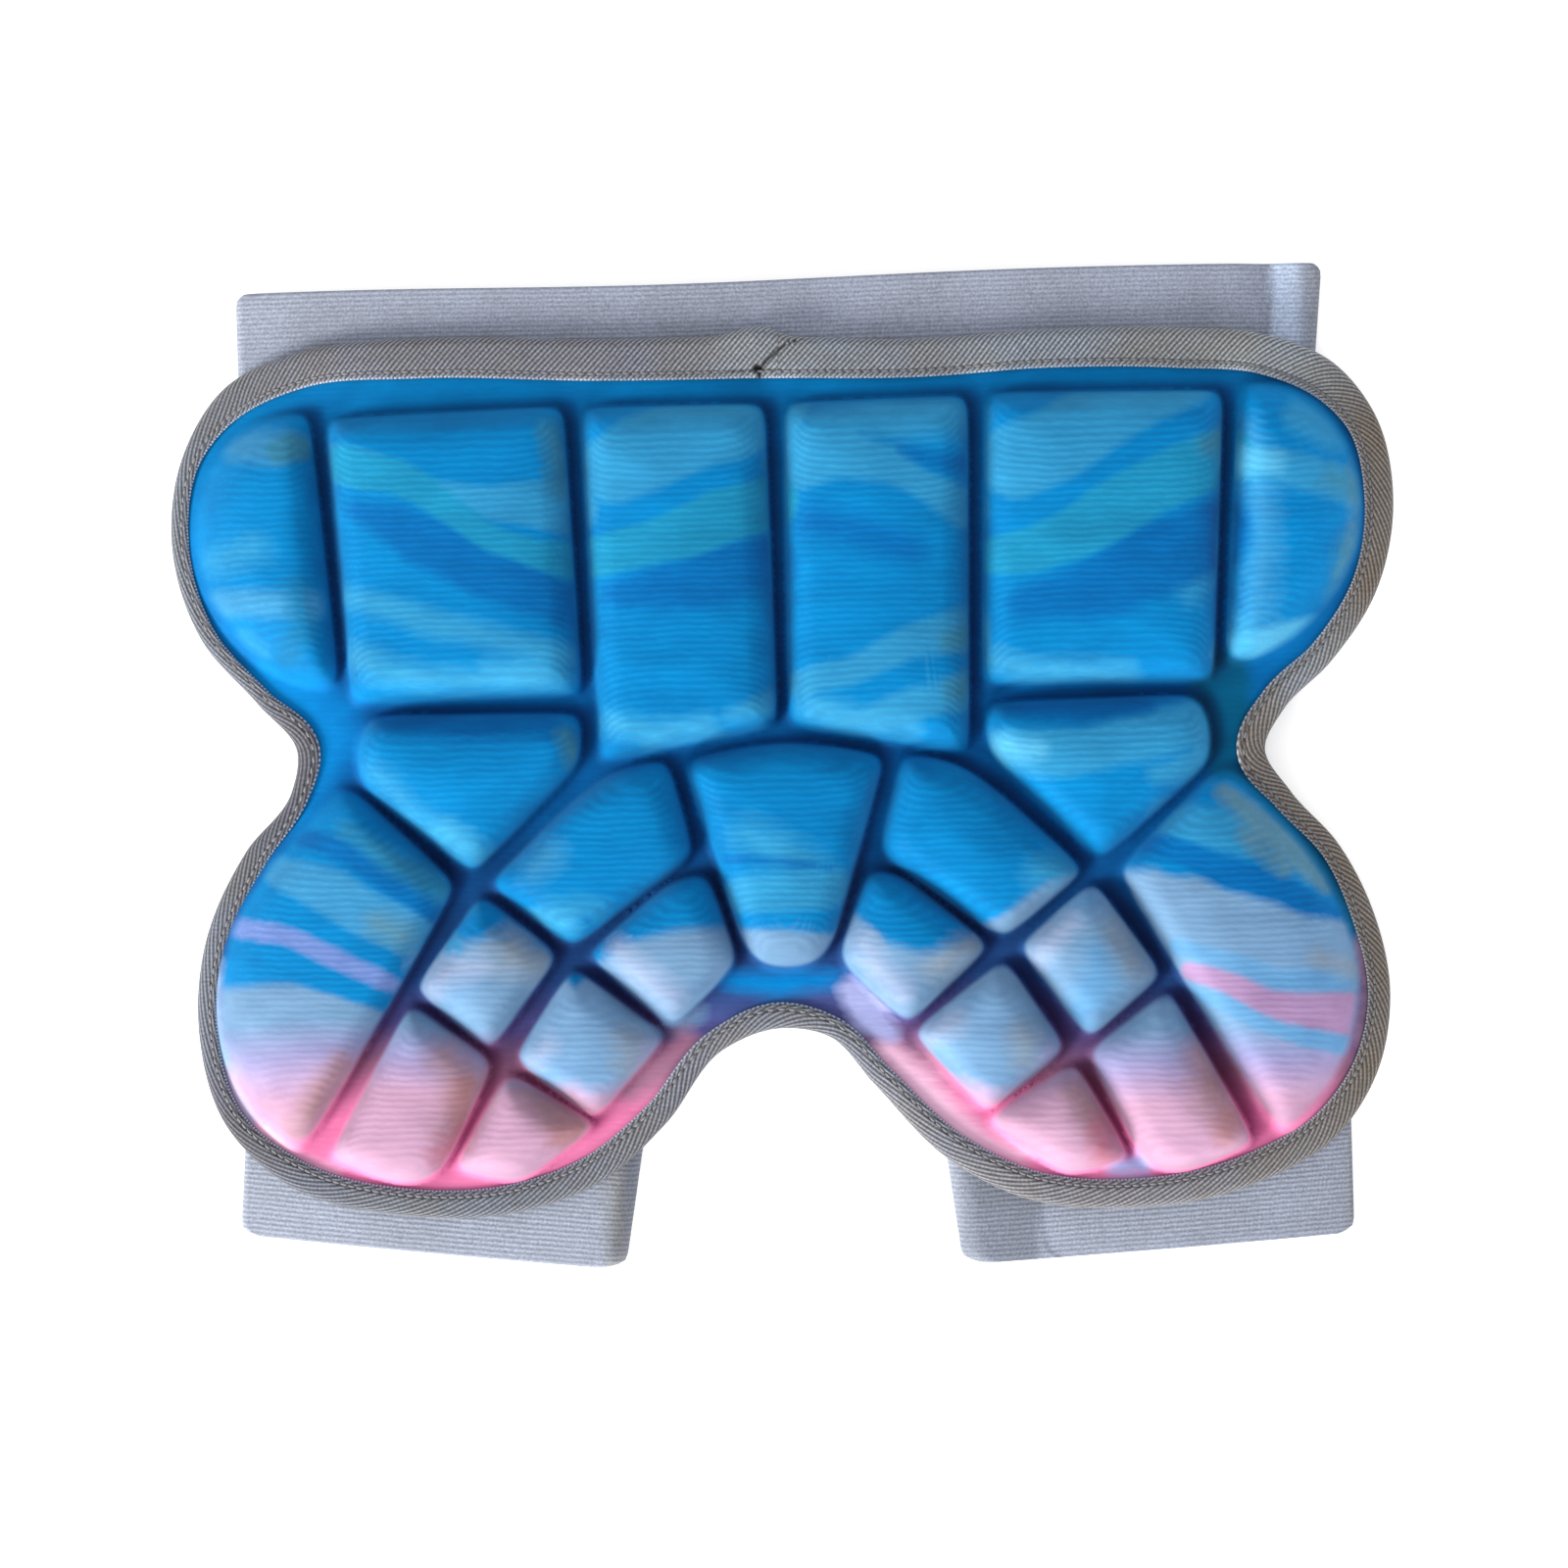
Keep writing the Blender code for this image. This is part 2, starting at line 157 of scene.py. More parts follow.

# The tape's tones, as shares of its plain colour, and the stretches that have them, charted
# clockwise from the top left at places given in pixels of the frame. They hold its dye and some of the
# photograph's own light, as the elastic's tones below do.
TAPE_TONES = {
    "bright": (1.5, 1.6, 1.6),
    "pale": (1.2, 1.3, 1.4),
    "grey": (0.95, 0.95, 1.05),
    "tan": (0.95, 0.8, 0.65),
    "slate_shade": (0.7, 0.75, 0.85),
    "dark": (0.5, 0.5, 0.6),
}
TAPE_STRETCHES = [
    Stretch("grey", 340, 370),
    Stretch("grey", 600, 365),
    Stretch("pale", 800, 360),
    Stretch("pale", 1050, 360),
    Stretch("bright", 1300, 370),
    Stretch("tan", 1400, 450),
    Stretch("tan", 1400, 590),
    Stretch("pale", 1340, 680),
    Stretch("tan", 1280, 770),
    Stretch("tan", 1370, 890),
    Stretch("tan", 1400, 1080),
    Stretch("grey", 1160, 1220),
    Stretch("grey", 920, 1120),
    Stretch("slate_shade", 830, 1040),
    Stretch("grey", 700, 1090),
    Stretch("slate_shade", 480, 1230),
    Stretch("dark", 240, 1140),
    Stretch("slate_shade", 215, 1000),
    Stretch("dark", 310, 790),
    Stretch("slate_shade", 200, 620),
    Stretch("slate_shade", 195, 470),
]
# The elastic's tones, and where each one stands across a band, in pixels of the frame. All but plain
# are painted light and shade: lit is a painted highlight on the waistband's fold, and shade, warm and
# deep are painted shade at a crease and a lap edge, at folds that turn away and on the leg band's
# lapped ply.
ELASTIC_TONES = {
    "plain": (0.88, 0.9, 0.96),
    "shade": (0.75, 0.77, 0.82),
    "lit": (1.4, 1.55, 1.7),
    "warm_shade": (0.72, 0.69, 0.63),
    "deep": (0.55, 0.56, 0.6),
}
BAND_CHARTS = {
    "waistband": [
        ("plain", 1285),
        ("shade", 1294),
        ("lit", 1300),
        ("lit", 1320),
        ("plain", 1332),
        ("warm_shade", 1352),
    ],
    "leg_band_left": [("plain", 610), ("warm_shade", 630), ("deep", 645)],
    "leg_band_right": [
        ("plain", 960),
        ("deep", 985),
        ("deep", 1055),
        ("shade", 1062),
        ("plain", 1068),
        ("plain", 1370),
        ("warm_shade", 1385),
    ],
}

Station = namedtuple("Station", "across along lap")
Corner = namedtuple("Corner", "across along slope")
Band = namedtuple("Band", "hidden_left hidden_right open_left open_right easing lap_length")
Streak = namedtuple("Streak", "tone softness path")

EDGE = [
    Station(2, 120.5, 12),
    Station(40, 118.5, 11),
    Station(76.5, 120, 11),
    Station(114, 119.5, 11.5),
    Station(140, 117, 11.5),
    Station(159, 109, 11.5),
    Station(171, 94, 9.5),
    Station(175.5, 72, 9),
    Station(170, 45.5, 8),
    Station(155.5, 25, 7.5),
    Station(141.5, 12, 8),
    Station(136, 1.5, 8.5),
    Station(143, -10.5, 6.5),
    Station(156.5, -25.5, 6),
    Station(166.5, -45, 7),
    Station(171, -68, 7),
    Station(167, -89.5, 8),
    Station(154.5, -107.5, 9),
    Station(131, -120, 9),
    Station(97.5, -126, 8.5),
    Station(64.5, -122.5, 8.5),
    Station(44, -111.5, 8),
    Station(23.4, -90, 6.4),
    Station(11, -76.5, 6),
    Station(-3, -74, 7.5),
    Station(-18.5, -79.5, 6.5),
    Station(-35.5, -100.5, 7.5),
    Station(-54, -116.5, 8.5),
    Station(-76, -124.5, 8.5),
    Station(-107.5, -125.5, 8),
    Station(-142, -117, 8.5),
    Station(-160.5, -99.5, 6.5),
    Station(-168, -72, 6),
    Station(-165.5, -47, 6.5),
    Station(-153, -21, 7),
    Station(-139.5, -4.5, 5.5),
    Station(-137.5, 7, 7),
    Station(-148.5, 21, 5),
    Station(-164.5, 40, 5),
    Station(-172.5, 68, 5.5),
    Station(-168.5, 93, 6),
    Station(-155, 112.5, 10),
    Station(-134.5, 121, 10.5),
    Station(-100, 123.5, 11.5),
    Station(-50, 121.5, 12),
]

STEEP = 1.0
GENTLE = 0.42
SIDE_CELLS = {
    "hip": [
        Corner(131.5, 104, STEEP),
        Corner(144.5, 104, GENTLE),
        Corner(157, 98.5, GENTLE),
        Corner(165, 88, GENTLE),
        Corner(169, 71, GENTLE),
        Corner(167, 54.5, GENTLE),
        Corner(158.5, 41, GENTLE),
        Corner(142, 28, STEEP),
        Corner(130, 24, STEEP),
        Corner(125, 25.5, STEEP),
    ],
    "back_outer": [
        Corner(59.5, 102, STEEP),
        Corner(126, 101, STEEP),
        Corner(121, 20.5, STEEP),
        Corner(56.5, 21, STEEP),
    ],
    "back_inner": [
        Corner(3, 101, STEEP),
        Corner(54, 101.5, STEEP),
        Corner(51.5, 2, STEEP),
        Corner(2, 11, STEEP),
    ],
    "waist_outer": [
        Corner(57, 15.5, STEEP),
        Corner(116.5, 16.5, STEEP),
        Corner(120.5, 10, STEEP),
        Corner(120, -2, STEEP),
        Corner(88, -28.5, STEEP),
        Corner(57, 2, STEEP),
    ],
    "seat_top": [
        Corner(33, 2, STEEP),
        Corner(44.5, 1.5, STEEP),
        Corner(53, -2.5, STEEP),
        Corner(83.5, -31.5, STEEP),
        Corner(60.5, -50, STEEP),
        Corner(26, -25, STEEP),
    ],
    "seat_inner": [
        Corner(22.5, -30, STEEP),
        Corner(31, -30.5, STEEP),
        Corner(56.5, -52, STEEP),
        Corner(33, -73.5, STEEP),
        Corner(14, -55, STEEP),
    ],
    "seat_middle": [
        Corner(86, -34.5, STEEP),
        Corner(105, -61, STEEP),
        Corner(84, -78.5, STEEP),
        Corner(64.5, -52, STEEP),
    ],
    "seat_low_inner": [
        Corner(60.5, -55.5, STEEP),
        Corner(77.5, -81, STEEP),
        Corner(55, -98.5, STEEP),
        Corner(34.5, -75.5, STEEP),
    ],
    "leg_side": [
        Corner(123.5, -2, GENTLE),
        Corner(147, -21.5, GENTLE),
        Corner(160, -40, GENTLE),
        Corner(165, -62, GENTLE),
        Corner(161.5, -84, GENTLE),
        Corner(152, -99, GENTLE),
        Corner(135.5, -110, STEEP),
        Corner(110, -63.5, STEEP),
        Corner(91, -33.5, STEEP),
    ],
    "leg_outer": [
        Corner(106.5, -65, STEEP),
        Corner(130.5, -108.5, STEEP),
        Corner(108.5, -117, STEEP),
        Corner(99, -114, STEEP),
        Corner(83.5, -82, STEEP),
    ],
    "leg_inner": [
        Corner(79.5, -85, STEEP),
        Corner(95, -112, STEEP),
        Corner(76.5, -116.5, STEEP),
        Corner(54.5, -100, STEEP),
    ],
}
TAILBONE_CELL = [
    Corner(0, 7.5, STEEP),
    Corner(14, 6, STEEP),
    Corner(28, 2, STEEP),
    Corner(11.5, -53.5, STEEP),
    Corner(7, -57, STEEP),
    Corner(-7, -57, STEEP),
    Corner(-11.5, -53.5, STEEP),
    Corner(-28, 2, STEEP),
    Corner(-14, 6, STEEP),
]
BANDS = {
    "waistband": Band((-154.5, 84), (150, 93), (-156, 134), (153.5, 143), 2.0, 0.0),
    "leg_band_left": Band((-152, -84), (-37.5, -92.5), (-154.5, -133.5), (-44.5, -142.5), 4.0, 0.0),
    "leg_band_right": Band((43.5, -91), (161.5, -83), (51, -141), (163, -133), 4.0, LEG_LAP_LENGTH),
}

# The print's colours as the eye sees them, 0 to 255. Some are painted light and shade: glow and light
# are partly painted highlights on the cells' lit flanks and bottoms and partly the print's pale bands,
# glint and frost are painted highlights, slate and rose_grey_shade are the cells' own colour with painted
# shade on the light cells' tips and right flanks, and web_teal_shade is teal dye with painted shade on the
# web at the right.
TONES = {
    "blue": (0, 132, 204),
    "pale": (48, 150, 206),
    "deep": (0, 112, 188),
    "teal": (28, 146, 196),
    "olive": (58, 138, 176),
    "pale_band_and_highlight": (62, 150, 206),
    "light": (84, 178, 226),
    "facet": (92, 146, 176),
    "painted_glint": (62, 162, 212),
    "mist": (118, 158, 200),
    "lavender": (116, 144, 214),
    "mauve": (172, 140, 186),
    "sky": (104, 162, 214),
    "lilac": (160, 156, 206),
    "pink": (200, 158, 192),
    "slate_shade": (104, 120, 170),
    "putty": (138, 158, 182),
    "rose_grey_shade": (176, 138, 150),
    "tan": (188, 134, 142),
    "painted_frost": (158, 176, 213),
    "moss": (44, 138, 188),
    "pond": (24, 124, 180),
    "orchid": (178, 152, 198),
    "periwinkle": (142, 156, 214),
    "ice": (122, 166, 212),
    "blush": (218, 158, 192),
    "salmon": (206, 128, 154),
    "web_blue": (0, 116, 192),
    "web_top": (0, 124, 194),
    "web_bright": (0, 134, 214),
    "web_teal_shade": (0, 106, 152),
    "web_navy": (8, 92, 160),
    "web_night": (40, 86, 152),
    "web_steel": (108, 146, 188),
    "web_dusk": (90, 88, 150),
    "web_mauve": (176, 150, 176),
    "web_mist": (150, 184, 226),
    "web_lilac": (190, 176, 214),
    "web_lavender": (176, 184, 238),
    "web_rose": (170, 120, 152),
    "web_blush": (255, 204, 236),
    "hot_pink": (252, 142, 196),
}

# Where the blue cells end and the light ones begin: right and down, in pixels of the frame
SHORE = [
    (180, 1005), (330, 1008), (410, 1040), (440, 964), (500, 956), (560, 975), (585, 1010), (605, 985),
    (650, 958), (700, 950), (745, 945), (760, 948), (850, 950), (870, 930), (905, 962), (950, 974),
    (1000, 956), (1040, 922), (1080, 890), (1130, 885), (1180, 890), (1250, 930), (1330, 955), (1420, 960),
]

# The light cells' ground and the grooves' own ground down the frame: pixel row and tone
CELL_GROUND = [(900, "mist"), (1045, "mist"), (1080, "lilac"), (1118, "pink"), (1300, "pink")]
WEB_GROUND = [
    (420, "web_top"), (640, "web_blue"), (830, "web_blue"), (890, "web_navy"), (1000, "web_night"), (1050, "web_dusk"),
    (1090, "web_rose"), (1140, "hot_pink"), (1300, "hot_pink"),
]

# The photograph's light grows stronger to the right, more than these lamps' does. The print makes up
# for that: pixels from the left, and the share of its tones
# Painted light: the cells' print is painted darker to the left and lighter to the right by these shares.
PAINTED_SIDE_LIGHT = [(200, 0.84), (500, 0.9), (1080, 0.9), (1200, 0.97), (1400, 1.18)]

# Streaks over the ground, in the order of painting: tone, softness of the edge, and a path of
# (right, down, half width), all in pixels of the frame
STREAKS = [
    Streak("pale_band_and_highlight", 8, [(235, 455, 12), (262, 455, 15), (290, 457, 15)]),
    Streak("pale", 4, [(445, 499, 5), (500, 512, 17), (550, 515, 25), (582, 518, 28)]),
    Streak("pale", 8, [(355, 610, 10), (430, 632, 13), (500, 650, 12), (575, 672, 14)]),
    Streak("pale", 10, [(500, 680, 8), (570, 690, 14)]),
    Streak("pale", 5, [(625, 478, 35), (660, 460, 40), (700, 445, 40), (740, 432, 38), (790, 413, 37)]),
    Streak("pale", 6, [(742, 730, 6), (785, 718, 14)]),
    Streak("pale", 12, [(830, 430, 12), (900, 428, 20), (985, 425, 20)]),
    Streak("pale", 5, [(812, 468, 32), (860, 462, 26), (905, 472, 19), (940, 492, 14), (988, 520, 20)]),
    Streak("pale", 5, [(815, 700, 12), (870, 682, 14), (930, 656, 17), (988, 640, 22)]),
    Streak("pale", 5, [(860, 734, 5), (920, 722, 14), (988, 705, 20)]),
    Streak("pale", 5, [(1035, 470, 38), (1080, 452, 38), (1130, 420, 35), (1170, 400, 32), (1215, 385, 27)]),
    Streak("pale", 14, [(1215, 605, 10), (1238, 570, 14)]),
    Streak("pale", 8, [(1325, 425, 14), (1360, 440, 16), (1385, 455, 8)]),
    Streak("pale", 5, [(1262, 472, 20), (1300, 474, 18), (1340, 482, 18), (1388, 502, 18)]),
    Streak("pale", 6, [(1010, 765, 20), (1060, 768, 24), (1110, 764, 24), (1160, 754, 24), (1225, 736, 24)]),
    Streak("pale", 8, [(1180, 790, 10), (1228, 775, 20)]),
    Streak("pale", 14, [(385, 790, 8), (420, 830, 10), (470, 865, 12)]),
    Streak("pale", 12, [(560, 930, 10), (610, 925, 8)]),
    Streak("pale", 12, [(1060, 890, 14), (1085, 885, 14)]),
    Streak("pale", 5, [(755, 912, 18), (800, 912, 20), (850, 905, 20)]),
    Streak("pale", 8, [(1190, 835, 18), (1240, 845, 20), (1270, 855, 18)]),
    Streak("deep", 6, [(365, 520, 12), (400, 533, 20), (430, 550, 26), (500, 585, 26), (580, 618, 22)]),
    Streak("deep", 8, [(625, 606, 12), (680, 600, 26), (730, 587, 30), (785, 575, 28)]),
    Streak("deep", 12, [(830, 530, 14), (880, 545, 18), (930, 560, 16)]),
    Streak("deep", 6, [(920, 458, 4), (955, 470, 8), (988, 474, 10)]),
    Streak("deep", 8, [(1050, 615, 18), (1110, 605, 32), (1170, 575, 38), (1240, 545, 36)]),
    Streak("deep", 8, [(1030, 722, 8), (1100, 726, 12), (1170, 720, 8)]),
    Streak("deep", 12, [(400, 742, 8), (480, 745, 12), (560, 743, 10)]),
    Streak("deep", 4, [(740, 878, 4), (800, 880, 4), (845, 884, 3)]),
    Streak("deep", 4, [(300, 848, 9), (340, 866, 12), (390, 893, 12), (450, 935, 12)]),
    Streak("deep", 4, [(1165, 862, 10), (1212, 872, 14), (1260, 892, 17), (1310, 915, 18), (1352, 933, 12), (1385, 938, 8)]),
    Streak("teal", 4, [(350, 474, 20), (400, 484, 17), (430, 500, 15), (455, 518, 14), (480, 535, 14), (510, 553, 13), (545, 566, 15), (582, 571, 20)]),
    Streak("teal", 4, [(605, 568, 20), (660, 556, 22), (700, 542, 26), (740, 527, 27), (788, 511, 28)]),
    Streak("teal", 4, [(1008, 568, 18), (1050, 562, 22), (1105, 540, 28), (1150, 512, 29), (1200, 483, 28), (1250, 465, 29)]),
    Streak("olive", 5, [(285, 459, 13), (308, 459, 13)]),
    Streak("olive", 12, [(562, 440, 8), (570, 470, 10), (574, 500, 8)]),
    Streak("olive", 8, [(968, 655, 10), (988, 650, 16)]),
    Streak("olive", 8, [(970, 704, 9), (988, 700, 14)]),
    Streak("olive", 8, [(1232, 455, 9), (1248, 453, 16)]),
    Streak("olive", 10, [(1360, 487, 9), (1390, 503, 14)]),
    Streak("olive", 14, [(1380, 560, 12), (1372, 600, 10)]),
    Streak("olive", 8, [(577, 750, 8), (588, 775, 10)]),
    Streak("moss", 8, [(350, 848, 7), (400, 876, 12), (450, 908, 14), (475, 920, 10)]),
    Streak("facet", 6, [(1250, 808, 8), (1290, 846, 15), (1330, 880, 14), (1352, 902, 8)]),
    Streak("facet", 8, [(1270, 850, 8), (1310, 885, 10)]),
    Streak("pale_band_and_highlight", 6, [(215, 617, 14), (268, 618, 14), (316, 616, 15)]),
    Streak("pale_band_and_highlight", 8, [(346, 474, 16), (380, 477, 13)]),
    # Painted highlights where the cells face the key light
    Streak("light", 8, [(1265, 472, 16), (1300, 471, 12)]),
    Streak("light", 5, [(1262, 668, 24), (1300, 657, 18), (1345, 640, 10)]),
    Streak("light", 8, [(1015, 765, 12), (1060, 765, 10)]),
    Streak("pale_band_and_highlight", 5, [(282, 888, 16), (330, 908, 22), (375, 932, 24), (420, 955, 24), (455, 965, 18)]),
    Streak("mist", 6, [(1000, 952, 5), (1030, 938, 5)]),
    Streak("mist", 5, [(1180, 915, 20), (1215, 925, 30), (1260, 945, 34), (1320, 965, 32), (1390, 970, 28)]),
    Streak("blue", 4, [(240, 918, 8), (290, 934, 8), (345, 955, 8), (400, 987, 8)]),
    Streak("blue", 4, [(255, 980, 16), (300, 990, 14), (350, 1005, 12), (405, 1026, 8)]),
    Streak("blue", 4, [(760, 941, 4), (800, 944, 5), (855, 946, 6)]),
    Streak("lavender", 4, [(240, 944, 9), (290, 957, 10), (340, 975, 10), (390, 1000, 9), (412, 1010, 6)]),
    Streak("mauve", 4, [(1215, 990, 9), (1255, 1004, 14), (1300, 1023, 20), (1350, 1034, 22), (1392, 1038, 22)]),
    Streak("sky", 4, [(1200, 965, 8), (1250, 982, 10), (1300, 997, 11), (1350, 1002, 12), (1392, 1000, 12)]),
    Streak("sky", 4, [(1188, 1000, 8), (1232, 1020, 8), (1282, 1040, 9), (1330, 1057, 10), (1388, 1072, 10)]),
    Streak("ice", 12, [(560, 1075, 40), (590, 1060, 50), (610, 1080, 36)]),
    Streak("ice", 12, [(965, 1070, 36), (1000, 1060, 50), (1020, 1075, 40)]),
    Streak("ice", 12, [(440, 990, 18), (470, 1010, 18)]),
    Streak("ice", 12, [(690, 1028, 12), (725, 1010, 8)]),
    Streak("ice", 12, [(870, 965, 14), (900, 995, 16)]),
    # Painted shade over the light cells' own colour at their tips
    Streak("slate_shade", 16, [(425, 1040, 18), (442, 1060, 20), (480, 1080, 12)]),
    Streak("slate_shade", 14, [(590, 1000, 24), (620, 1035, 24), (655, 1050, 16)]),
    Streak("slate_shade", 16, [(1185, 1028, 14), (1205, 1045, 18)]),
    Streak("slate_shade", 14, [(1035, 1020, 12), (1062, 1060, 12)]),
    Streak("slate_shade", 12, [(735, 945, 10)] * 2),
    Streak("putty", 16, [(525, 972, 24), (550, 985, 16)]),
    Streak("putty", 16, [(640, 1065, 14), (640, 1085, 12)]),
    Streak("putty", 14, [(990, 965, 10), (960, 985, 14)]),
    Streak("putty", 14, [(1140, 950, 10), (1160, 985, 10)]),
    Streak("putty", 14, [(1045, 1055, 12), (1045, 1080, 10)]),
    # Painted shade over the light cells' own colour on their right flanks
    Streak("rose_grey_shade", 18, [(455, 1080, 12), (478, 1110, 18), (462, 1160, 12)]),
    Streak("rose_grey_shade", 16, [(535, 1115, 8), (570, 1140, 20), (590, 1155, 14)]),
    Streak("rose_grey_shade", 18, [(1225, 1075, 12), (1240, 1110, 18), (1250, 1140, 12)]),
    Streak("rose_grey_shade", 16, [(1100, 1110, 12), (1118, 1140, 14)]),
    Streak("orchid", 14, [(495, 1045, 16), (525, 1035, 12)]),
    Streak("orchid", 14, [(925, 1030, 14)] * 2),
    Streak("orchid", 14, [(1085, 1100, 12), (1040, 1135, 12)]),
    Streak("periwinkle", 14, [(650, 975, 18), (690, 985, 22), (720, 980, 10)]),
    Streak("periwinkle", 14, [(575, 1030, 16)] * 2),
    Streak("periwinkle", 14, [(395, 1080, 16), (380, 1115, 8)]),
    Streak("periwinkle", 14, [(1060, 960, 14), (1100, 940, 16)]),
    Streak("periwinkle", 14, [(1010, 1000, 16), (970, 1035, 18)]),
    Streak("periwinkle", 14, [(1185, 1050, 16), (1130, 1070, 20)]),
    Streak("sky", 14, [(585, 1068, 8), (612, 1070, 14)]),
    Streak("sky", 14, [(990, 1060, 8), (1020, 1065, 12)]),
    Streak("sky", 12, [(1120, 975, 14), (1120, 1005, 20), (1095, 1045, 16)]),
    Streak("sky", 12, [(1075, 925, 8), (1110, 915, 12)]),
    Streak("blush", 12, [(600, 1134, 8)] * 2),
    # Painted highlight down the hip cell's lit left flank
    Streak("pale_band_and_highlight", 18, [(1276, 440, 8), (1284, 500, 12), (1290, 560, 12), (1284, 620, 12), (1275, 655, 10)]),
    Streak("facet", 10, [(1388, 470, 8), (1392, 530, 10), (1380, 590, 10), (1355, 640, 8)]),
    Streak("pale", 16, [(765, 855, 16), (800, 870, 20), (830, 885, 14)]),
    Streak("pale_band_and_highlight", 14, [(545, 887, 10), (562, 872, 12)]),
    Streak("pale", 14, [(220, 572, 10), (258, 562, 16)]),
    Streak("pond", 12, [(300, 600, 9), (309, 640, 12), (292, 668, 10)]),
    # Painted shade on the leg side cell's lower right flank, over its own colour
    Streak("rose_grey_shade", 16, [(350, 1088, 9), (325, 1122, 12), (305, 1150, 10)]),
    Streak("facet", 12, [(385, 942, 9), (408, 955, 12)]),
    Streak("putty", 10, [(1345, 977, 8), (1388, 994, 10)]),
    Streak("orchid", 14, [(482, 1026, 12), (505, 1046, 16)]),
    # Painted highlights on the light cells' lit left walls
    Streak("painted_frost", 12, [(1050, 985, 8), (1070, 964, 10), (1092, 940, 6)]),
    Streak("painted_frost", 12, [(437, 1012, 8), (455, 990, 12), (490, 985, 8)]),
    Streak("painted_frost", 12, [(945, 1062, 8), (972, 1044, 10)]),
    Streak("painted_frost", 12, [(543, 1085, 8), (560, 1066, 8)]),
    Streak("painted_frost", 12, [(880, 962, 8), (896, 990, 11), (923, 1014, 9)]),
    Streak("painted_frost", 12, [(632, 967, 9), (655, 992, 10), (690, 1020, 9)]),
    Streak("orchid", 16, [(722, 958, 10), (726, 974, 10)]),
    Streak("tan", 14, [(590, 1148, 8), (575, 1162, 9)]),
    Streak("tan", 14, [(475, 1110, 6), (470, 1140, 8)]),
    Streak("tan", 14, [(1254, 1140, 8), (1250, 1158, 8)]),
    Streak("blush", 16, [(370, 1180, 14), (430, 1192, 12)]),
    Streak("blush", 16, [(480, 1192, 10), (560, 1190, 10)]),
    Streak("blush", 16, [(1020, 1150, 10), (1060, 1180, 14), (1110, 1188, 10)]),
    Streak("blush", 16, [(1160, 1170, 14), (1240, 1180, 14)]),
    Streak("blush", 16, [(1330, 1120, 16), (1300, 1150, 12)]),
    Streak("salmon", 14, [(1125, 1150, 10), (1128, 1178, 12)]),
    Streak("salmon", 14, [(450, 1178, 8), (470, 1160, 6)]),
    # Painted highlights along the cells' lit bottoms
    Streak("painted_glint", 14, [(365, 672, 10), (400, 688, 10), (470, 694, 8), (545, 692, 7)]),
    Streak("painted_glint", 14, [(625, 738, 9), (665, 748, 10), (720, 742, 7)]),
    Streak("painted_glint", 14, [(830, 722, 10), (880, 738, 10), (930, 742, 6)]),
    Streak("painted_glint", 14, [(1015, 672, 9), (1060, 686, 9), (1150, 684, 7)]),
    Streak("painted_glint", 12, [(245, 660, 8), (262, 672, 8)]),
    Streak("painted_glint", 14, [(1265, 640, 9), (1268, 668, 10)]),
    Streak("painted_glint", 14, [(455, 850, 8), (490, 875, 10)]),
    Streak("painted_glint", 14, [(545, 940, 6), (580, 945, 8)]),
    # Partly painted light: the web painted brighter at the left notch, where it faces the key light
    Streak("web_bright", 12, [(285, 690, 30), (335, 740, 34), (300, 810, 22)]),
    Streak("web_bright", 10, [(745, 1000, 10), (800, 1003, 14), (850, 1000, 8)]),
    # Teal dye with painted shade on the web along the right side
    Streak("web_teal_shade", 10, [(1245, 690, 30), (1252, 750, 30), (1270, 800, 28), (1330, 860, 26), (1385, 940, 22)]),
    Streak("web_mist", 8, [(216, 985, 12), (220, 1040, 12), (232, 1090, 12)]),
    Streak("web_lilac", 8, [(234, 1100, 12), (256, 1140, 12)]),
    Streak("web_lilac", 8, [(1400, 1080, 12), (1380, 1130, 12)]),
    Streak("web_blush", 8, [(268, 1160, 11), (300, 1184, 10), (340, 1200, 8)]),
    Streak("web_steel", 8, [(660, 1054, 8), (690, 1048, 12), (712, 1036, 8)]),
    Streak("web_mauve", 8, [(1396, 965, 12), (1402, 1010, 12), (1396, 1060, 12)]),
    Streak("web_lavender", 8, [(866, 1012, 12), (886, 1034, 20), (908, 1052, 10)]),
    Streak("web_lavender", 8, [(1138, 1190, 8), (1165, 1186, 14)]),
    Streak("web_rose", 10, [(640, 1110, 14), (700, 1066, 14)]),
    Streak("web_blush", 10, [(905, 1072, 12), (950, 1120, 16), (1000, 1165, 14), (1040, 1182, 8)]),
]
LAYERS = list(dict.fromkeys(streak.tone for streak in STREAKS))


def seen_colour(name):
    """A named tone as linear light."""
    level = np.array(TONES[name]) / 255
    return DYE_DEPTH * np.where(level <= 0.04045, level / 12.92, ((level + 0.055) / 1.055) ** 2.4)


def place_of(across, along):
    turn = TURN + BEND_PER_MM * along
    middle = MIDDLE_X - TURN * along - BEND_PER_MM * along**2 / 2
    return middle + across * np.cos(turn), along + across * np.sin(turn)


def mould_place(x, y):
    """The reverse of place_of, by a few rounds of correction."""
    across, along = x, y
    for _ in range(6):
        at_x, at_y = place_of(across, along)
        across = across + x - at_x
        along = along + y - at_y
    return across, along


def back_height(across):
    return RIM_HEIGHT + ARCH_RISE * (1 - (np.abs(across) / ARCH_HALF_WIDTH) ** ARCH_POWER)


def on_table(points, heights):
    """Points of the mould's frame, at heights above the pad's back, as x, y and z in the row's frame."""
    across, along = np.asarray(points, float).T
    x, y = place_of(across, along)
    return np.stack([x + SHIFT_X, y + SHIFT_Y, back_height(across) + heights], axis=1)


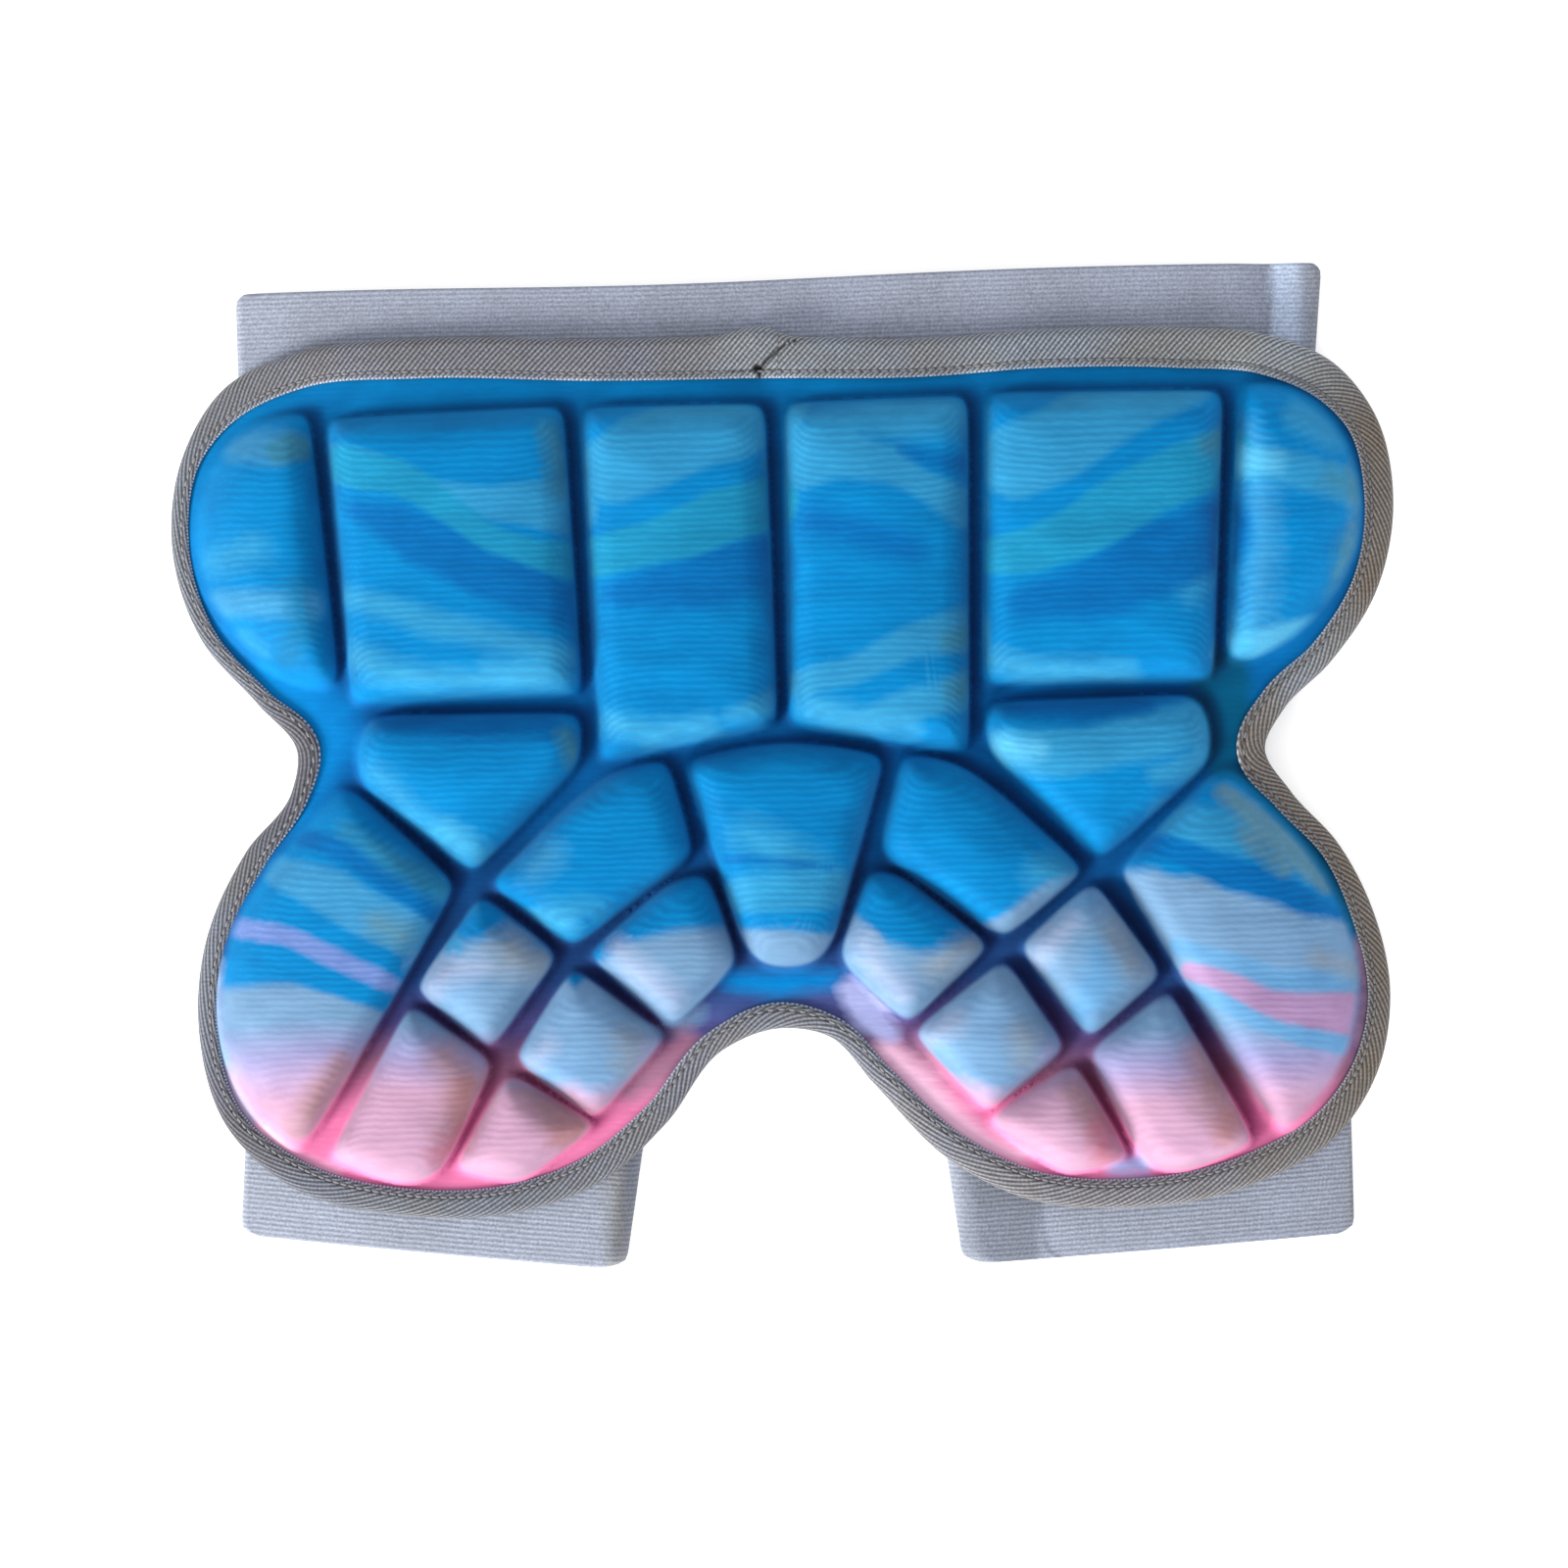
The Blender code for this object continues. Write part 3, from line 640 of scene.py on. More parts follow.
def photo_pixel(places):
    """Where the camera sees these places, in pixels of the photograph's frame."""
    scale = CAMERA_HEIGHT / (CAMERA_HEIGHT - places[:, 2]) / MM_PER_PIXEL
    right = FRAME_PIXELS / 2 + (places[:, 0] - CAMERA_X) * scale
    down = FRAME_PIXELS / 2 - (places[:, 1] - CAMERA_Y) * scale
    return right, down


def closed_curve(rows, count):
    """Evenly spaced points on a smooth closed curve through the rows, with the rows' columns."""
    rows = np.array(rows, float)
    after = np.roll(rows, -1, axis=0) - rows
    chord = np.hypot(after[:, 0], after[:, 1])[:, None]
    before = np.roll(after, 1, axis=0)
    before_chord = np.roll(chord, 1, axis=0)
    tangent = (before / before_chord * chord + after / chord * before_chord) / (chord + before_chord)
    steps = 32
    pieces = []
    for t in np.arange(steps) / steps:
        pieces.append(
            (2 * t**3 - 3 * t**2 + 1) * rows
            + (t**3 - 2 * t**2 + t) * chord * tangent
            + (3 * t**2 - 2 * t**3) * np.roll(rows, -1, axis=0)
            + (t**3 - t**2) * chord * np.roll(tangent, -1, axis=0)
        )
    fine = np.stack(pieces, axis=1).reshape(-1, rows.shape[1])
    return evenly(fine, count)


def evenly(ring, count):
    """A closed ring's points spaced evenly, with all its columns."""
    ends = np.vstack([ring, ring[:1]])
    run = np.concatenate([[0], np.cumsum(np.hypot(*np.diff(ends[:, :2], axis=0).T))])
    at = np.arange(count) * run[-1] / count
    return np.stack([np.interp(at, run, column) for column in ends.T], axis=1)


def inward_of(points):
    """Unit directions into the pad along its clockwise edge."""
    along = np.roll(points, -1, axis=0)[:, :2] - np.roll(points, 1, axis=0)[:, :2]
    along /= np.hypot(along[:, 0], along[:, 1])[:, None]
    return np.stack([along[:, 1], -along[:, 0]], axis=1)


def depth_in(corners, across, along):
    """Distance in from a cell's foot, with its corners rounded by blending its sides."""
    total = 0.0
    for corner, after in zip(corners, corners[1:] + corners[:1]):
        side = Vector((after.across - corner.across, after.along - corner.along)).normalized()
        inside = (across - corner.across) * side.y - (along - corner.along) * side.x
        total = total + np.exp(np.minimum(-CORNER_SHARPNESS * corner.slope * inside, 60))
    return -np.log(total) / CORNER_SHARPNESS


def mirrored(corners):
    """The same cell on the left half, still clockwise."""
    befores = corners[-1:] + corners[:-1]
    flipped = [Corner(-corner.across, corner.along, before.slope) for corner, before in zip(corners, befores)]
    return flipped[::-1]


def all_cells():
    return [*SIDE_CELLS.values(), *map(mirrored, SIDE_CELLS.values()), TAILBONE_CELL]


def deepest_of(corners):
    """The point of a cell farthest in from its foot."""
    middle = np.mean(outline_of(corners), axis=0)
    for reach in (40.0, 4.0, 0.4):
        steps = np.linspace(-reach, reach, 41)
        across, along = np.meshgrid(middle[0] + steps, middle[1] + steps)
        best = depth_in(corners, across, along).argmax()
        middle = np.array([across.flat[best], along.flat[best]])
    return middle


def ring_at(corners, middle, angles, level):
    """Points of a cell at one level, along rays from its middle."""
    near = np.zeros_like(angles)
    far = np.full_like(angles, 120.0)
    rays = np.stack([np.cos(angles), np.sin(angles)], axis=1)
    for _ in range(30):
        half = (near + far) / 2
        deep = depth_in(corners, *(middle + half[:, None] * rays).T)
        near = np.where(deep > level, half, near)
        far = np.where(deep > level, far, half)
    return middle + near[:, None] * rays


def cell_height(depth):
    """Height of the knit above the flange, at this distance in from the nearest cell's foot."""
    eased = FOOT_EASE * np.logaddexp(0, (depth + FOOT_OUT) / FOOT_EASE)
    wall = 1 - np.clip(eased / (WALL_RUN + FOOT_OUT), 0, 1)
    crown = 1 - np.exp(-np.maximum(depth, 0) / CROWN_RUN)
    return WALL_RISE * (1 - wall**WALL_SHAPE) + CROWN_RISE * crown


def relief(points):
    """Height above the flange, the rib coordinate and the colour kept under the painted groove shade, at points of the
    mould.
    """
    across, along = np.asarray(points, float).T
    cells = all_cells()
    depths = np.array([depth_in(corners, across, along) for corners in cells])
    nearest = depths.argmax(axis=0)
    second, deepest = np.sort(depths, axis=0)[-2:]
    height = cell_height(deepest)
    low = np.array([np.min(outline_of(corners), axis=0) for corners in cells])[nearest]
    high = np.array([np.max(outline_of(corners), axis=0) for corners in cells])[nearest]
    v = np.clip((2 * along - low[:, 1] - high[:, 1]) / (high - low)[:, 1], -1, 1)
    fall = np.maximum(cell_height(20.0) - height, 0) * smooth_step(height / WALL_RISE)
    bow = RIB_BOW * fall * np.sign(v) * np.abs(v) ** 1.5
    # Painted shade, where the groove is narrow and where a wall rises towards the key light
    narrow = np.exp(np.minimum(deepest + second, 0) / GROOVE_WIDTH)
    dark = NARROW_SHARE * narrow + WALL_SHARE * hidden_by_walls(across, along, height, cells)
    dark = dark * (1 - smooth_step(height / 2))
    return height, along - bow, np.exp(-dark[:, None] * GROOVE_PAINTED_SHADE)


def hidden_by_walls(across, along, height, cells):
    """How steeply the walls rise from here towards the key light, from 0 to 1."""
    turn = math.radians(LIGHTS[0][1])
    steepest = np.zeros_like(height)
    for step in (0.8, 1.6, 3.0, 5.0):
        there = (across + step * math.cos(turn), along + step * math.sin(turn))
        depth = np.max([depth_in(corners, *there) for corners in cells], axis=0)
        steepest = np.maximum(steepest, (cell_height(depth) - height) / step)
    return np.clip(steepest / 1.5, 0, 1)


def outline_of(corners):
    return [corner[:2] for corner in corners]


def triangulated(points, loops):
    """Triangles between the points, inside the outermost loop and along every loop."""
    edges = [(a, b) for loop in loops for a, b in zip(loop, loop[1:] + loop[:1])]
    flat = [Vector(point) for point in points]
    verts, _, faces, _, _, _ = delaunay_2d_cdt(flat, edges, [], 1, 1e-6)
    assert len(verts) == len(points)
    return [list(face) for face in faces]


def inside_loop(loop, points):
    """Which points a closed loop goes round, by the turns it makes as seen from them."""
    offset = loop[None] - points[:, None]
    after = np.roll(offset, -1, axis=1)
    cross = offset[..., 0] * after[..., 1] - offset[..., 1] * after[..., 0]
    turns = np.arctan2(cross, (offset * after).sum(-1)).sum(-1)
    return np.abs(turns) > math.pi


def spread_points(loop, spacing, clear):
    """Points on a staggered grid inside a closed loop, clear of it by some distance."""
    low = loop.min(axis=0)
    high = loop.max(axis=0)
    rows = []
    for k, along in enumerate(np.arange(low[1], high[1], spacing * math.sqrt(3) / 2)):
        starts = np.arange(low[0] + spacing / 2 * (k % 2), high[0], spacing)
        rows.append(np.stack([starts, np.full_like(starts, along)], axis=1))
    grid = np.vstack(rows)
    coarse = loop[::4]
    grid = grid[inside_loop(coarse, grid)]
    distance = np.hypot(*(grid[:, None] - loop[None]).transpose(2, 0, 1)).min(axis=1)
    return grid[distance > clear]


def new_piece(name, places, faces, material, attributes):
    """A mesh from points in millimetres, shaded smooth, with named numbers or colours on its points."""
    mesh = bpy.data.meshes.new(name)
    mesh.from_pydata((np.asarray(places) * MM).tolist(), [], faces)
    mesh.validate()
    mesh.shade_smooth()
    for key, values in attributes.items():
        values = np.asarray(values, np.float32)
        if values.ndim == 1:
            mesh.attributes.new(key, "FLOAT", "POINT").data.foreach_set("value", values)
        else:
            whole = np.concatenate([values, np.ones((len(values), 1), np.float32)], axis=1)
            mesh.attributes.new(key, "FLOAT_COLOR", "POINT").data.foreach_set("color", whole.ravel())
    mesh.materials.append(material)
    obj = bpy.data.objects.new(name, mesh)
    bpy.context.scene.collection.objects.link(obj)
    return obj


def smooth_step(value):
    value = np.clip(value, 0, 1)
    return value * value * (3 - 2 * value)


def wander(right, down, scale, seed):
    """A smooth wavering of about 1 either way, from a few sine waves."""
    draws = np.random.default_rng(seed)
    total = 0.0
    for _ in range(5):
        heading = draws.uniform(0, 2 * math.pi)
        length = scale * draws.uniform(0.6, 1.6)
        phase = draws.uniform(0, 2 * math.pi)
        total = total + np.sin((right * math.cos(heading) + down * math.sin(heading)) / length + phase)
    return total / 3


def ground_at(rows, table):
    """Colours down the frame, from a table of rows and tones."""
    tones = np.array([seen_colour(name) for _, name in table])
    levels = [row for row, _ in table]
    return np.stack([np.interp(rows, levels, tone) for tone in tones.T], axis=1)


def print_of(places, lift):
    """The marbled print, with painted highlights and painted shade among its streaks: its ground as a
    colour, the share of the light ground in it, and for each layer how far inside a streak a point is."""
    right, down = photo_pixel(places)
    right = right + PRINT_SWAY * wander(right, down, 16, 3)
    down = down + PRINT_SWAY * wander(right, down, 14, 4)
    on_cell = smooth_step((lift - 0.08) / 0.22)[:, None]
    below = down - np.interp(right, *np.array(SHORE, float).T)
    light = smooth_step(below / 16 + 0.5)[:, None]
    level = down + 14 * wander(right, down, 60, 5)
    cell = seen_colour("blue") * (1 - light) + ground_at(level, CELL_GROUND) * light
    ground = ground_at(level, WEB_GROUND) * (1 - on_cell) + cell * on_cell
    pale = light[:, 0] * on_cell[:, 0]
    fields = {layer: np.full(len(right), -2.0) for layer in LAYERS}
    for streak in STREAKS:
        for (x0, y0, half0), (x1, y1, half1) in zip(streak.path, streak.path[1:]):
            length = (x1 - x0) ** 2 + (y1 - y0) ** 2
            share = np.clip(((right - x0) * (x1 - x0) + (down - y0) * (y1 - y0)) / length, 0, 1)
            apart = np.hypot(right - x0 - share * (x1 - x0), down - y0 - share * (y1 - y0))
            field = (half0 + (half1 - half0) * share - apart) / streak.softness
            fields[streak.tone] = np.maximum(fields[streak.tone], field)
    return ground, pale, {layer: np.minimum(field, 2) for layer, field in fields.items()}


def build_pad(material):
    edge_rows = closed_curve(EDGE, PAD_STATIONS)
    inward = inward_of(edge_rows)
    edge = edge_rows[:, :2] + inward * (TAPE + GAP)
    points = list(map(tuple, edge))
    loops = [list(range(PAD_STATIONS))]
    cell_faces = []
    feet = []
    for corners in all_cells():
        middle = deepest_of(corners)
        foot = ring_at(corners, middle, np.linspace(0, 2 * math.pi, 720, endpoint=False), RING_LEVELS[0])
        spokes = round(np.hypot(*(np.roll(foot, -1, axis=0) - foot).T).sum() / SPOKE_SPACING)
        angles = np.arctan2(*(evenly(foot, spokes) - middle).T[::-1])
        deepest = depth_in(corners, *middle)
        rings = [ring_at(corners, middle, angles, level) for level in RING_LEVELS if level < 0.6 * deepest]
        start = len(points)
        feet.append(rings[0])
        loops.append(list(range(start, start + spokes)))
        for ring in rings:
            points += map(tuple, ring)
        for k in range(len(rings) - 1):
            for i in range(spokes):
                after = (i + 1) % spokes
                a = start + k * spokes
                b = a + spokes
                cell_faces.append([a + i, a + after, b + after, b + i])
        inmost = rings[-1]
        fill = spread_points(inmost, FILL_SPACING, FILL_SPACING / 3)
        lid = np.vstack([inmost, fill])
        first = start + (len(rings) - 1) * spokes
        points += map(tuple, fill)
        lid_faces = triangulated(lid.tolist(), [list(range(spokes))])
        within = inside_loop(inmost, np.array([lid[face].mean(axis=0) for face in lid_faces]))
        cell_faces += [[first + c for c in face] for face, kept in zip(lid_faces, within) if kept]
    used = sorted({index for loop in loops for index in loop})
    renumber = {index: k for k, index in enumerate(used)}
    free = spread_points(edge, WEB_SPACING, WEB_SPACING / 2)
    for foot in feet:
        near = np.hypot(*(free[:, None] - foot[None]).transpose(2, 0, 1)).min(axis=1)
        free = free[(near > WEB_SPACING / 2) & ~inside_loop(foot, free)]
    flat = [points[index] for index in used] + list(map(tuple, free))
    web = triangulated(flat, [[renumber[index] for index in loop] for loop in loops])
    centroids = np.array([[flat[c] for c in face] for face in web]).mean(axis=1)
    in_cell = np.zeros(len(web), bool)
    for foot in feet:
        in_cell |= inside_loop(foot, centroids)
    total = len(points)
    points += map(tuple, free)

    def whole(index):
        return used[index] if index < len(used) else total + index - len(used)

    faces = [[whole(c) for c in face] for face, hidden in zip(web, in_cell) if not hidden]
    faces += cell_faces
    height, rib, shade = relief(points)
    front = on_table(points, FLANGE + height)
    inner = spread_points(edge, BACK_SPACING, BACK_SPACING / 2)
    back_points = list(map(tuple, edge)) + list(map(tuple, inner))
    back_faces = triangulated(back_points, [list(range(PAD_STATIONS))])
    back = on_table(back_points, np.zeros(len(back_points)))
    start = len(front)
    faces += [[start + c for c in reversed(face)] for face in back_faces]
    for i in range(PAD_STATIONS):
        after = (i + 1) % PAD_STATIONS
        faces.append([i, after, start + after, start + i])
    places = np.vstack([front, back])
    lift = height / cell_height(20.0)
    ground, pale, fields = print_of(front, lift)
    attributes = {"ground": np.vstack([ground, np.tile(seen_colour("web_blue"), (len(back), 1))])}
    attributes["rib"] = np.concatenate([rib, np.array(back_points)[:, 1]])
    attributes["lift"] = np.concatenate([lift, np.zeros(len(back))])
    attributes["pale_share"] = np.concatenate([pale, np.zeros(len(back))])
    # Painted light and shade: the painted groove shade times the cells' painted side light
    side_light_share = np.interp(photo_pixel(front)[0], *np.array(PAINTED_SIDE_LIGHT).T)
    kept = shade * (1 + (side_light_share - 1) * smooth_step(lift / 0.5))[:, None]
    attributes["shade"] = np.vstack([kept, np.ones((len(back), 3))])
    for layer, field in fields.items():
        attributes[layer] = np.concatenate([field, np.full(len(back), -2.0)])
    return new_piece("moulded_pad_visual", places, faces, material, attributes)


class Shader:
    """Short names for building one material's nodes."""

    def __init__(self, name):
        self.material = bpy.data.materials.new(name)
        self.material.use_nodes = True
        self.tree = self.material.node_tree
        self.base = self.tree.nodes["Principled BSDF"]

    def put(self, socket, value):
        if isinstance(value, bpy.types.NodeSocket):
            self.tree.links.new(value, socket)
        elif value is not None:
            socket.default_value = value

    def number(self, name):
        node = self.tree.nodes.new("ShaderNodeAttribute")
        node.attribute_name = name
        return node.outputs["Fac"]

    def colour(self, name):
        node = self.tree.nodes.new("ShaderNodeAttribute")
        node.attribute_name = name
        return node.outputs["Color"]

    def math(self, operation, a, b=None, c=None):
        node = self.tree.nodes.new("ShaderNodeMath")
        node.operation = operation
        for socket, value in zip(node.inputs, (a, b, c)):
            self.put(socket, value)
        return node.outputs[0]

    def place(self):
        return self.tree.nodes.new("ShaderNodeTexCoord").outputs["Object"]

    def scaled(self, vector, scale):
        node = self.tree.nodes.new("ShaderNodeMapping")
        self.put(node.inputs["Vector"], vector)
        node.inputs["Scale"].default_value = scale
        return node.outputs[0]

    def noise(self, vector, scale, detail=2.0):
        node = self.tree.nodes.new("ShaderNodeTexNoise")
        self.put(node.inputs["Vector"], vector)
        node.inputs["Scale"].default_value = scale
        node.inputs["Detail"].default_value = detail
        return node.outputs["Fac"]

    def between(self, value, low, high, to_low=0.0, to_high=1.0):
        node = self.tree.nodes.new("ShaderNodeMapRange")
        for socket, given in zip(node.inputs, (value, low, high, to_low, to_high)):
            self.put(socket, given)
        return node.outputs[0]

    def mix(self, share, a, b, blend="MIX"):
        node = self.tree.nodes.new("ShaderNodeMix")
        node.data_type = "RGBA"
        node.blend_type = blend
        self.put(node.inputs[0], share)
        self.put(node.inputs[6], a)
        self.put(node.inputs[7], b)
        return node.outputs[2]

    def mid(self, value, share):
        """The value, drawn towards a half where the share is low."""
        return self.math("MULTIPLY_ADD", self.math("SUBTRACT", value, 0.5), share, 0.5)

    def grey(self, level):
        node = self.tree.nodes.new("ShaderNodeCombineColor")
        for socket in node.inputs:
            self.put(socket, level)
        return node.outputs[0]

    def bump(self, height, strength, distance, normal=None):
        node = self.tree.nodes.new("ShaderNodeBump")
        self.put(node.inputs["Height"], height)
        node.inputs["Strength"].default_value = strength
        node.inputs["Distance"].default_value = distance * MM
        self.put(node.inputs["Normal"], normal)
        return node.outputs[0]

    def finish(self, colour, roughness, normal, sheen=0.0, specular=0.3):
        self.put(self.base.inputs["Base Color"], colour)
        self.put(self.base.inputs["Roughness"], roughness)
        self.put(self.base.inputs["Normal"], normal)
        self.base.inputs["Sheen Weight"].default_value = sheen
        self.base.inputs["Specular IOR Level"].default_value = specular
        return self.material


def wave(shader, coordinate, pitch):
    """A wave from 0 to 1 along a coordinate in millimetres."""
    turned = shader.math("MULTIPLY", coordinate, 2 * math.pi / pitch)
    return shader.math("MULTIPLY_ADD", shader.math("SINE", turned), 0.5, 0.5)


def knit_material():
    shader = Shader("printed_knit")
    place = shader.place()
    waver = shader.noise(place, 90)
    rib_at = shader.math("ADD", shader.number("rib"), shader.math("MULTIPLY", waver, 1.6))
    lift = shader.number("lift")
    raised = shader.math("MAXIMUM", shader.between(lift, 0.35, 0.65), shader.between(lift, 0.08, 0.0, 0.0, 0.25))
    rib = shader.mid(wave(shader, rib_at, RIB_PITCH), raised)
    dashes = shader.noise(shader.scaled(place, (0.3, 1, 1)), 1100, 3)
    ragged = shader.noise(shader.scaled(place, (0.3, 1, 1)), 420, 3)
    shift = shader.between(ragged, 0.3, 0.7, -0.3, 0.3)
    on_cell = shader.between(lift, 0.08, 0.3)
    on_web = shader.math("SUBTRACT", 1.0, on_cell)
    colour = shader.colour("ground")
    for layer in LAYERS:
        inside = shader.between(shader.math("ADD", shader.number(layer), shift), -1, 1)
        place_share = on_web if layer.startswith("web") else on_cell
        colour = shader.mix(shader.math("MULTIPLY", inside, place_share), colour, (*seen_colour(layer), 1))
    # Painted groove shade and painted side light, multiplied into the print's colour
    colour = shader.mix(1.0, colour, shader.colour("shade"), "MULTIPLY")
    broad = shader.noise(shader.scaled(place, (0.4, 1, 1)), 120, 3)
    colour = shader.mix(0.5, colour, shader.grey(shader.between(broad, 0.3, 0.7, 0.35, 0.65)), "SOFT_LIGHT")
    lines = shader.math("MULTIPLY", rib, shader.between(dashes, 0.3, 0.7, 0.3, 1.0))
    uneven = shader.between(shader.noise(place, 45), 0.3, 0.7, 0.6, 1.0)
    softer = shader.math("MULTIPLY_ADD", shader.number("pale_share"), -0.5, 1.0)
    lines = shader.mid(lines, shader.math("MULTIPLY", uneven, softer))
    colour = shader.mix(0.5, colour, shader.grey(shader.between(lines, 0.0, 1.0, 0.36, 0.68)), "SOFT_LIGHT")
    normal = shader.bump(rib, 0.22, 0.3)
    normal = shader.bump(dashes, 0.35, 0.2, normal)
    return shader.finish(colour, 0.6, normal, 0.03, 0.03)


def tape_material():
    shader = Shader("twill_tape")
    twill = wave(shader, shader.number("twill"), TWILL_PITCH)
    cross = wave(shader, shader.number("cross"), TWILL_PITCH)
    place = shader.place()
    fine = shader.noise(place, 1500, 3)
    broad = shader.noise(place, 55, 2)
    weave = shader.math("MULTIPLY_ADD", cross, 0.14, shader.math("MULTIPLY", twill, 0.86))
    tone = shader.mix(shader.between(broad, 0.35, 0.65), (0.125, 0.13, 0.148, 1), (0.12, 0.118, 0.122, 1))
    tone = shader.mix(0.85, tone, shader.grey(shader.between(weave, 0.15, 0.9, 0.16, 0.76)), "OVERLAY")
    tone = shader.mix(0.5, tone, shader.grey(shader.between(fine, 0.3, 0.7, 0.2, 0.8)), "OVERLAY")
    # The tape's dye with painted light and shade, from TAPE_TONES
    tone = shader.mix(1.0, tone, shader.colour("tint_and_painted_light"), "MULTIPLY")
    lip_dots = shader.math("MULTIPLY", shader.between(shader.number("from_lip"), 0.9, 0.3), wave(shader, shader.number("run"), 1.1))
    tone = shader.mix(lip_dots, tone, (0.32, 0.38, 0.5, 1))
    # Painted shade along the seam's groove, with the stitch holes darker in it
    seam = shader.between(shader.math("ABSOLUTE", shader.math("SUBTRACT", shader.number("from_lip"), SEAM_IN + 0.3)), 0.7, 0.3)
    hole = shader.math("MULTIPLY", seam, shader.between(wave(shader, shader.number("run"), STITCH_PITCH), 0.35, 0.75))
    dark = shader.math("MAXIMUM", shader.math("MULTIPLY", seam, 0.35), shader.math("MULTIPLY", hole, 0.8))
    tone = shader.mix(dark, tone, (0.02, 0.02, 0.025, 1))
    # Painted shadow just past the lapped end's folded edge, and the dark of its hole
    tone = shader.mix(shader.number("join_shadow_and_hole"), tone, (0.008, 0.008, 0.01, 1))
    normal = shader.bump(weave, 0.7, 0.3)
    normal = shader.bump(fine, 0.4, 0.2, normal)
    return shader.finish(tone, 0.85, normal, 0.1, 0.1)


def thread_material():
    shader = Shader("sewing_thread")
    place = shader.place()
    fine = shader.noise(place, 2500, 2)
    tone = shader.mix(fine, (0.09, 0.09, 0.1, 1), (0.18, 0.18, 0.2, 1))
    return shader.finish(tone, 0.7, shader.bump(fine, 0.4, 0.15), 0.1, 0.1)


def elastic_material():
    shader = Shader("ribbed_elastic")
    weft = shader.number("weft")
    warp = shader.number("warp")
    place = shader.place()
    fine = shader.noise(place, 1500, 3)
    waver = shader.noise(place, 130, 2)
    rib = wave(shader, shader.math("ADD", weft, shader.math("MULTIPLY", waver, 0.5)), ELASTIC_RIB)
    thread = wave(shader, shader.math("ADD", warp, shader.math("MULTIPLY", waver, 0.8)), ELASTIC_THREAD)
    broad = shader.noise(place, 40, 2)
    basket = shader.math("MULTIPLY_ADD", thread, 0.16, shader.math("MULTIPLY", rib, 0.84))
    tone = shader.mix(shader.between(broad, 0.35, 0.65), (0.2, 0.215, 0.26, 1), (0.225, 0.245, 0.3, 1))
    tone = shader.mix(0.6, tone, shader.grey(shader.between(basket, 0.1, 0.9, 0.38, 0.6)), "OVERLAY")
    tone = shader.mix(0.5, tone, shader.grey(shader.between(fine, 0.3, 0.7, 0.25, 0.75)), "OVERLAY")
    # The elastic's colour with painted light and shade from ELASTIC_TONES
    tone = shader.mix(1.0, tone, shader.colour("tint_and_painted_light"), "MULTIPLY")
    normal = shader.bump(basket, 0.5, 0.25)
    normal = shader.bump(fine, 0.3, 0.15, normal)
    return shader.finish(tone, 0.8, normal, 0.1, 0.1)


def join_bulge(across, along):
    """How far the lapped join swells outwards here."""
    if along < 0 or not JOIN_PEAK - JOIN_LEFT < across < JOIN_PEAK + JOIN_RIGHT:
        return 0.0
    reach = JOIN_LEFT if across < JOIN_PEAK else JOIN_RIGHT
    return JOIN_RISE * math.cos((across - JOIN_PEAK) / reach * math.pi / 2) ** 2


def tape_top(lap, inward):
    """Height of the tape's front above the pad's back."""
    share = np.clip((lap - inward) / (lap - RIM_RUN), 0, 1)
    crown = TAPE_PUFF * np.sin(math.pi * (0.12 + 0.88 * share) ** 0.8)
    seam = SEAM_DIP * np.exp(-(((lap - inward - SEAM_IN) / 0.5) ** 2))
    lip = 0.8 * np.exp(-((lap - inward) / 0.9))
    return FLANGE + GAP + TAPE + crown - seam - lip


def tape_section(lap, bulge):
    """The folded tape cut across: distance in from its outer line, and height above the pad's back."""
    front = FLANGE + GAP
    middle = FLANGE / 2
    half = FLANGE / 2 + GAP + TAPE
    inwards = lap + (RIM_RUN - lap) * np.linspace(0, 1, 24)
    outside = list(zip(inwards, tape_top(lap, inwards)))
    for degrees in range(75, -91, -15):
        angle = math.radians(degrees)
        outside.append((RIM_RUN * (1 - math.cos(angle)), middle + half * math.sin(angle)))
    outside += [(6.0, -GAP - TAPE), (BACK_LAP - 0.6, -GAP - TAPE), (BACK_LAP, -GAP - 0.5 * TAPE)]
    outside = [(inward - bulge * max(0.0, 1 - inward / lap), height) for inward, height in outside]
    inside = [(BACK_LAP, -GAP), (TAPE, -GAP), (TAPE, front), (lap, front)]
    return outside + inside


def tape_stations():
    """Rows along the tape, closer together at its join, with the run along it as a last column."""
    edge = closed_curve(EDGE, TAPE_STATIONS)
    rows = []
    for row, after in zip(edge, np.roll(edge, -1, axis=0)):
        near_join = row[1] > 0 and abs(row[0] - JOIN_PEAK) < JOIN_LEFT
        for share in np.linspace(0, 1, 4 if near_join else 1, endpoint=False):
            rows.append(row + (after - row) * share)
    rows = np.array(rows)
    run = np.concatenate([[0], np.cumsum(np.hypot(*np.diff(rows[:, :2], axis=0).T))])
    return np.column_stack([rows, run])


def lapped_end(places):
    """How far inside the lapped end a place is, in pixels of the frame, and how near its hole."""
    right, down = photo_pixel(places)
    inside = np.interp(down, JOIN_EDGE_DOWN, JOIN_EDGE_RIGHT) - right
    from_hole = np.hypot(right - JOIN_HOLE[0], down - JOIN_HOLE[1])
    return inside, smooth_step(1.6 - from_hole / 4)


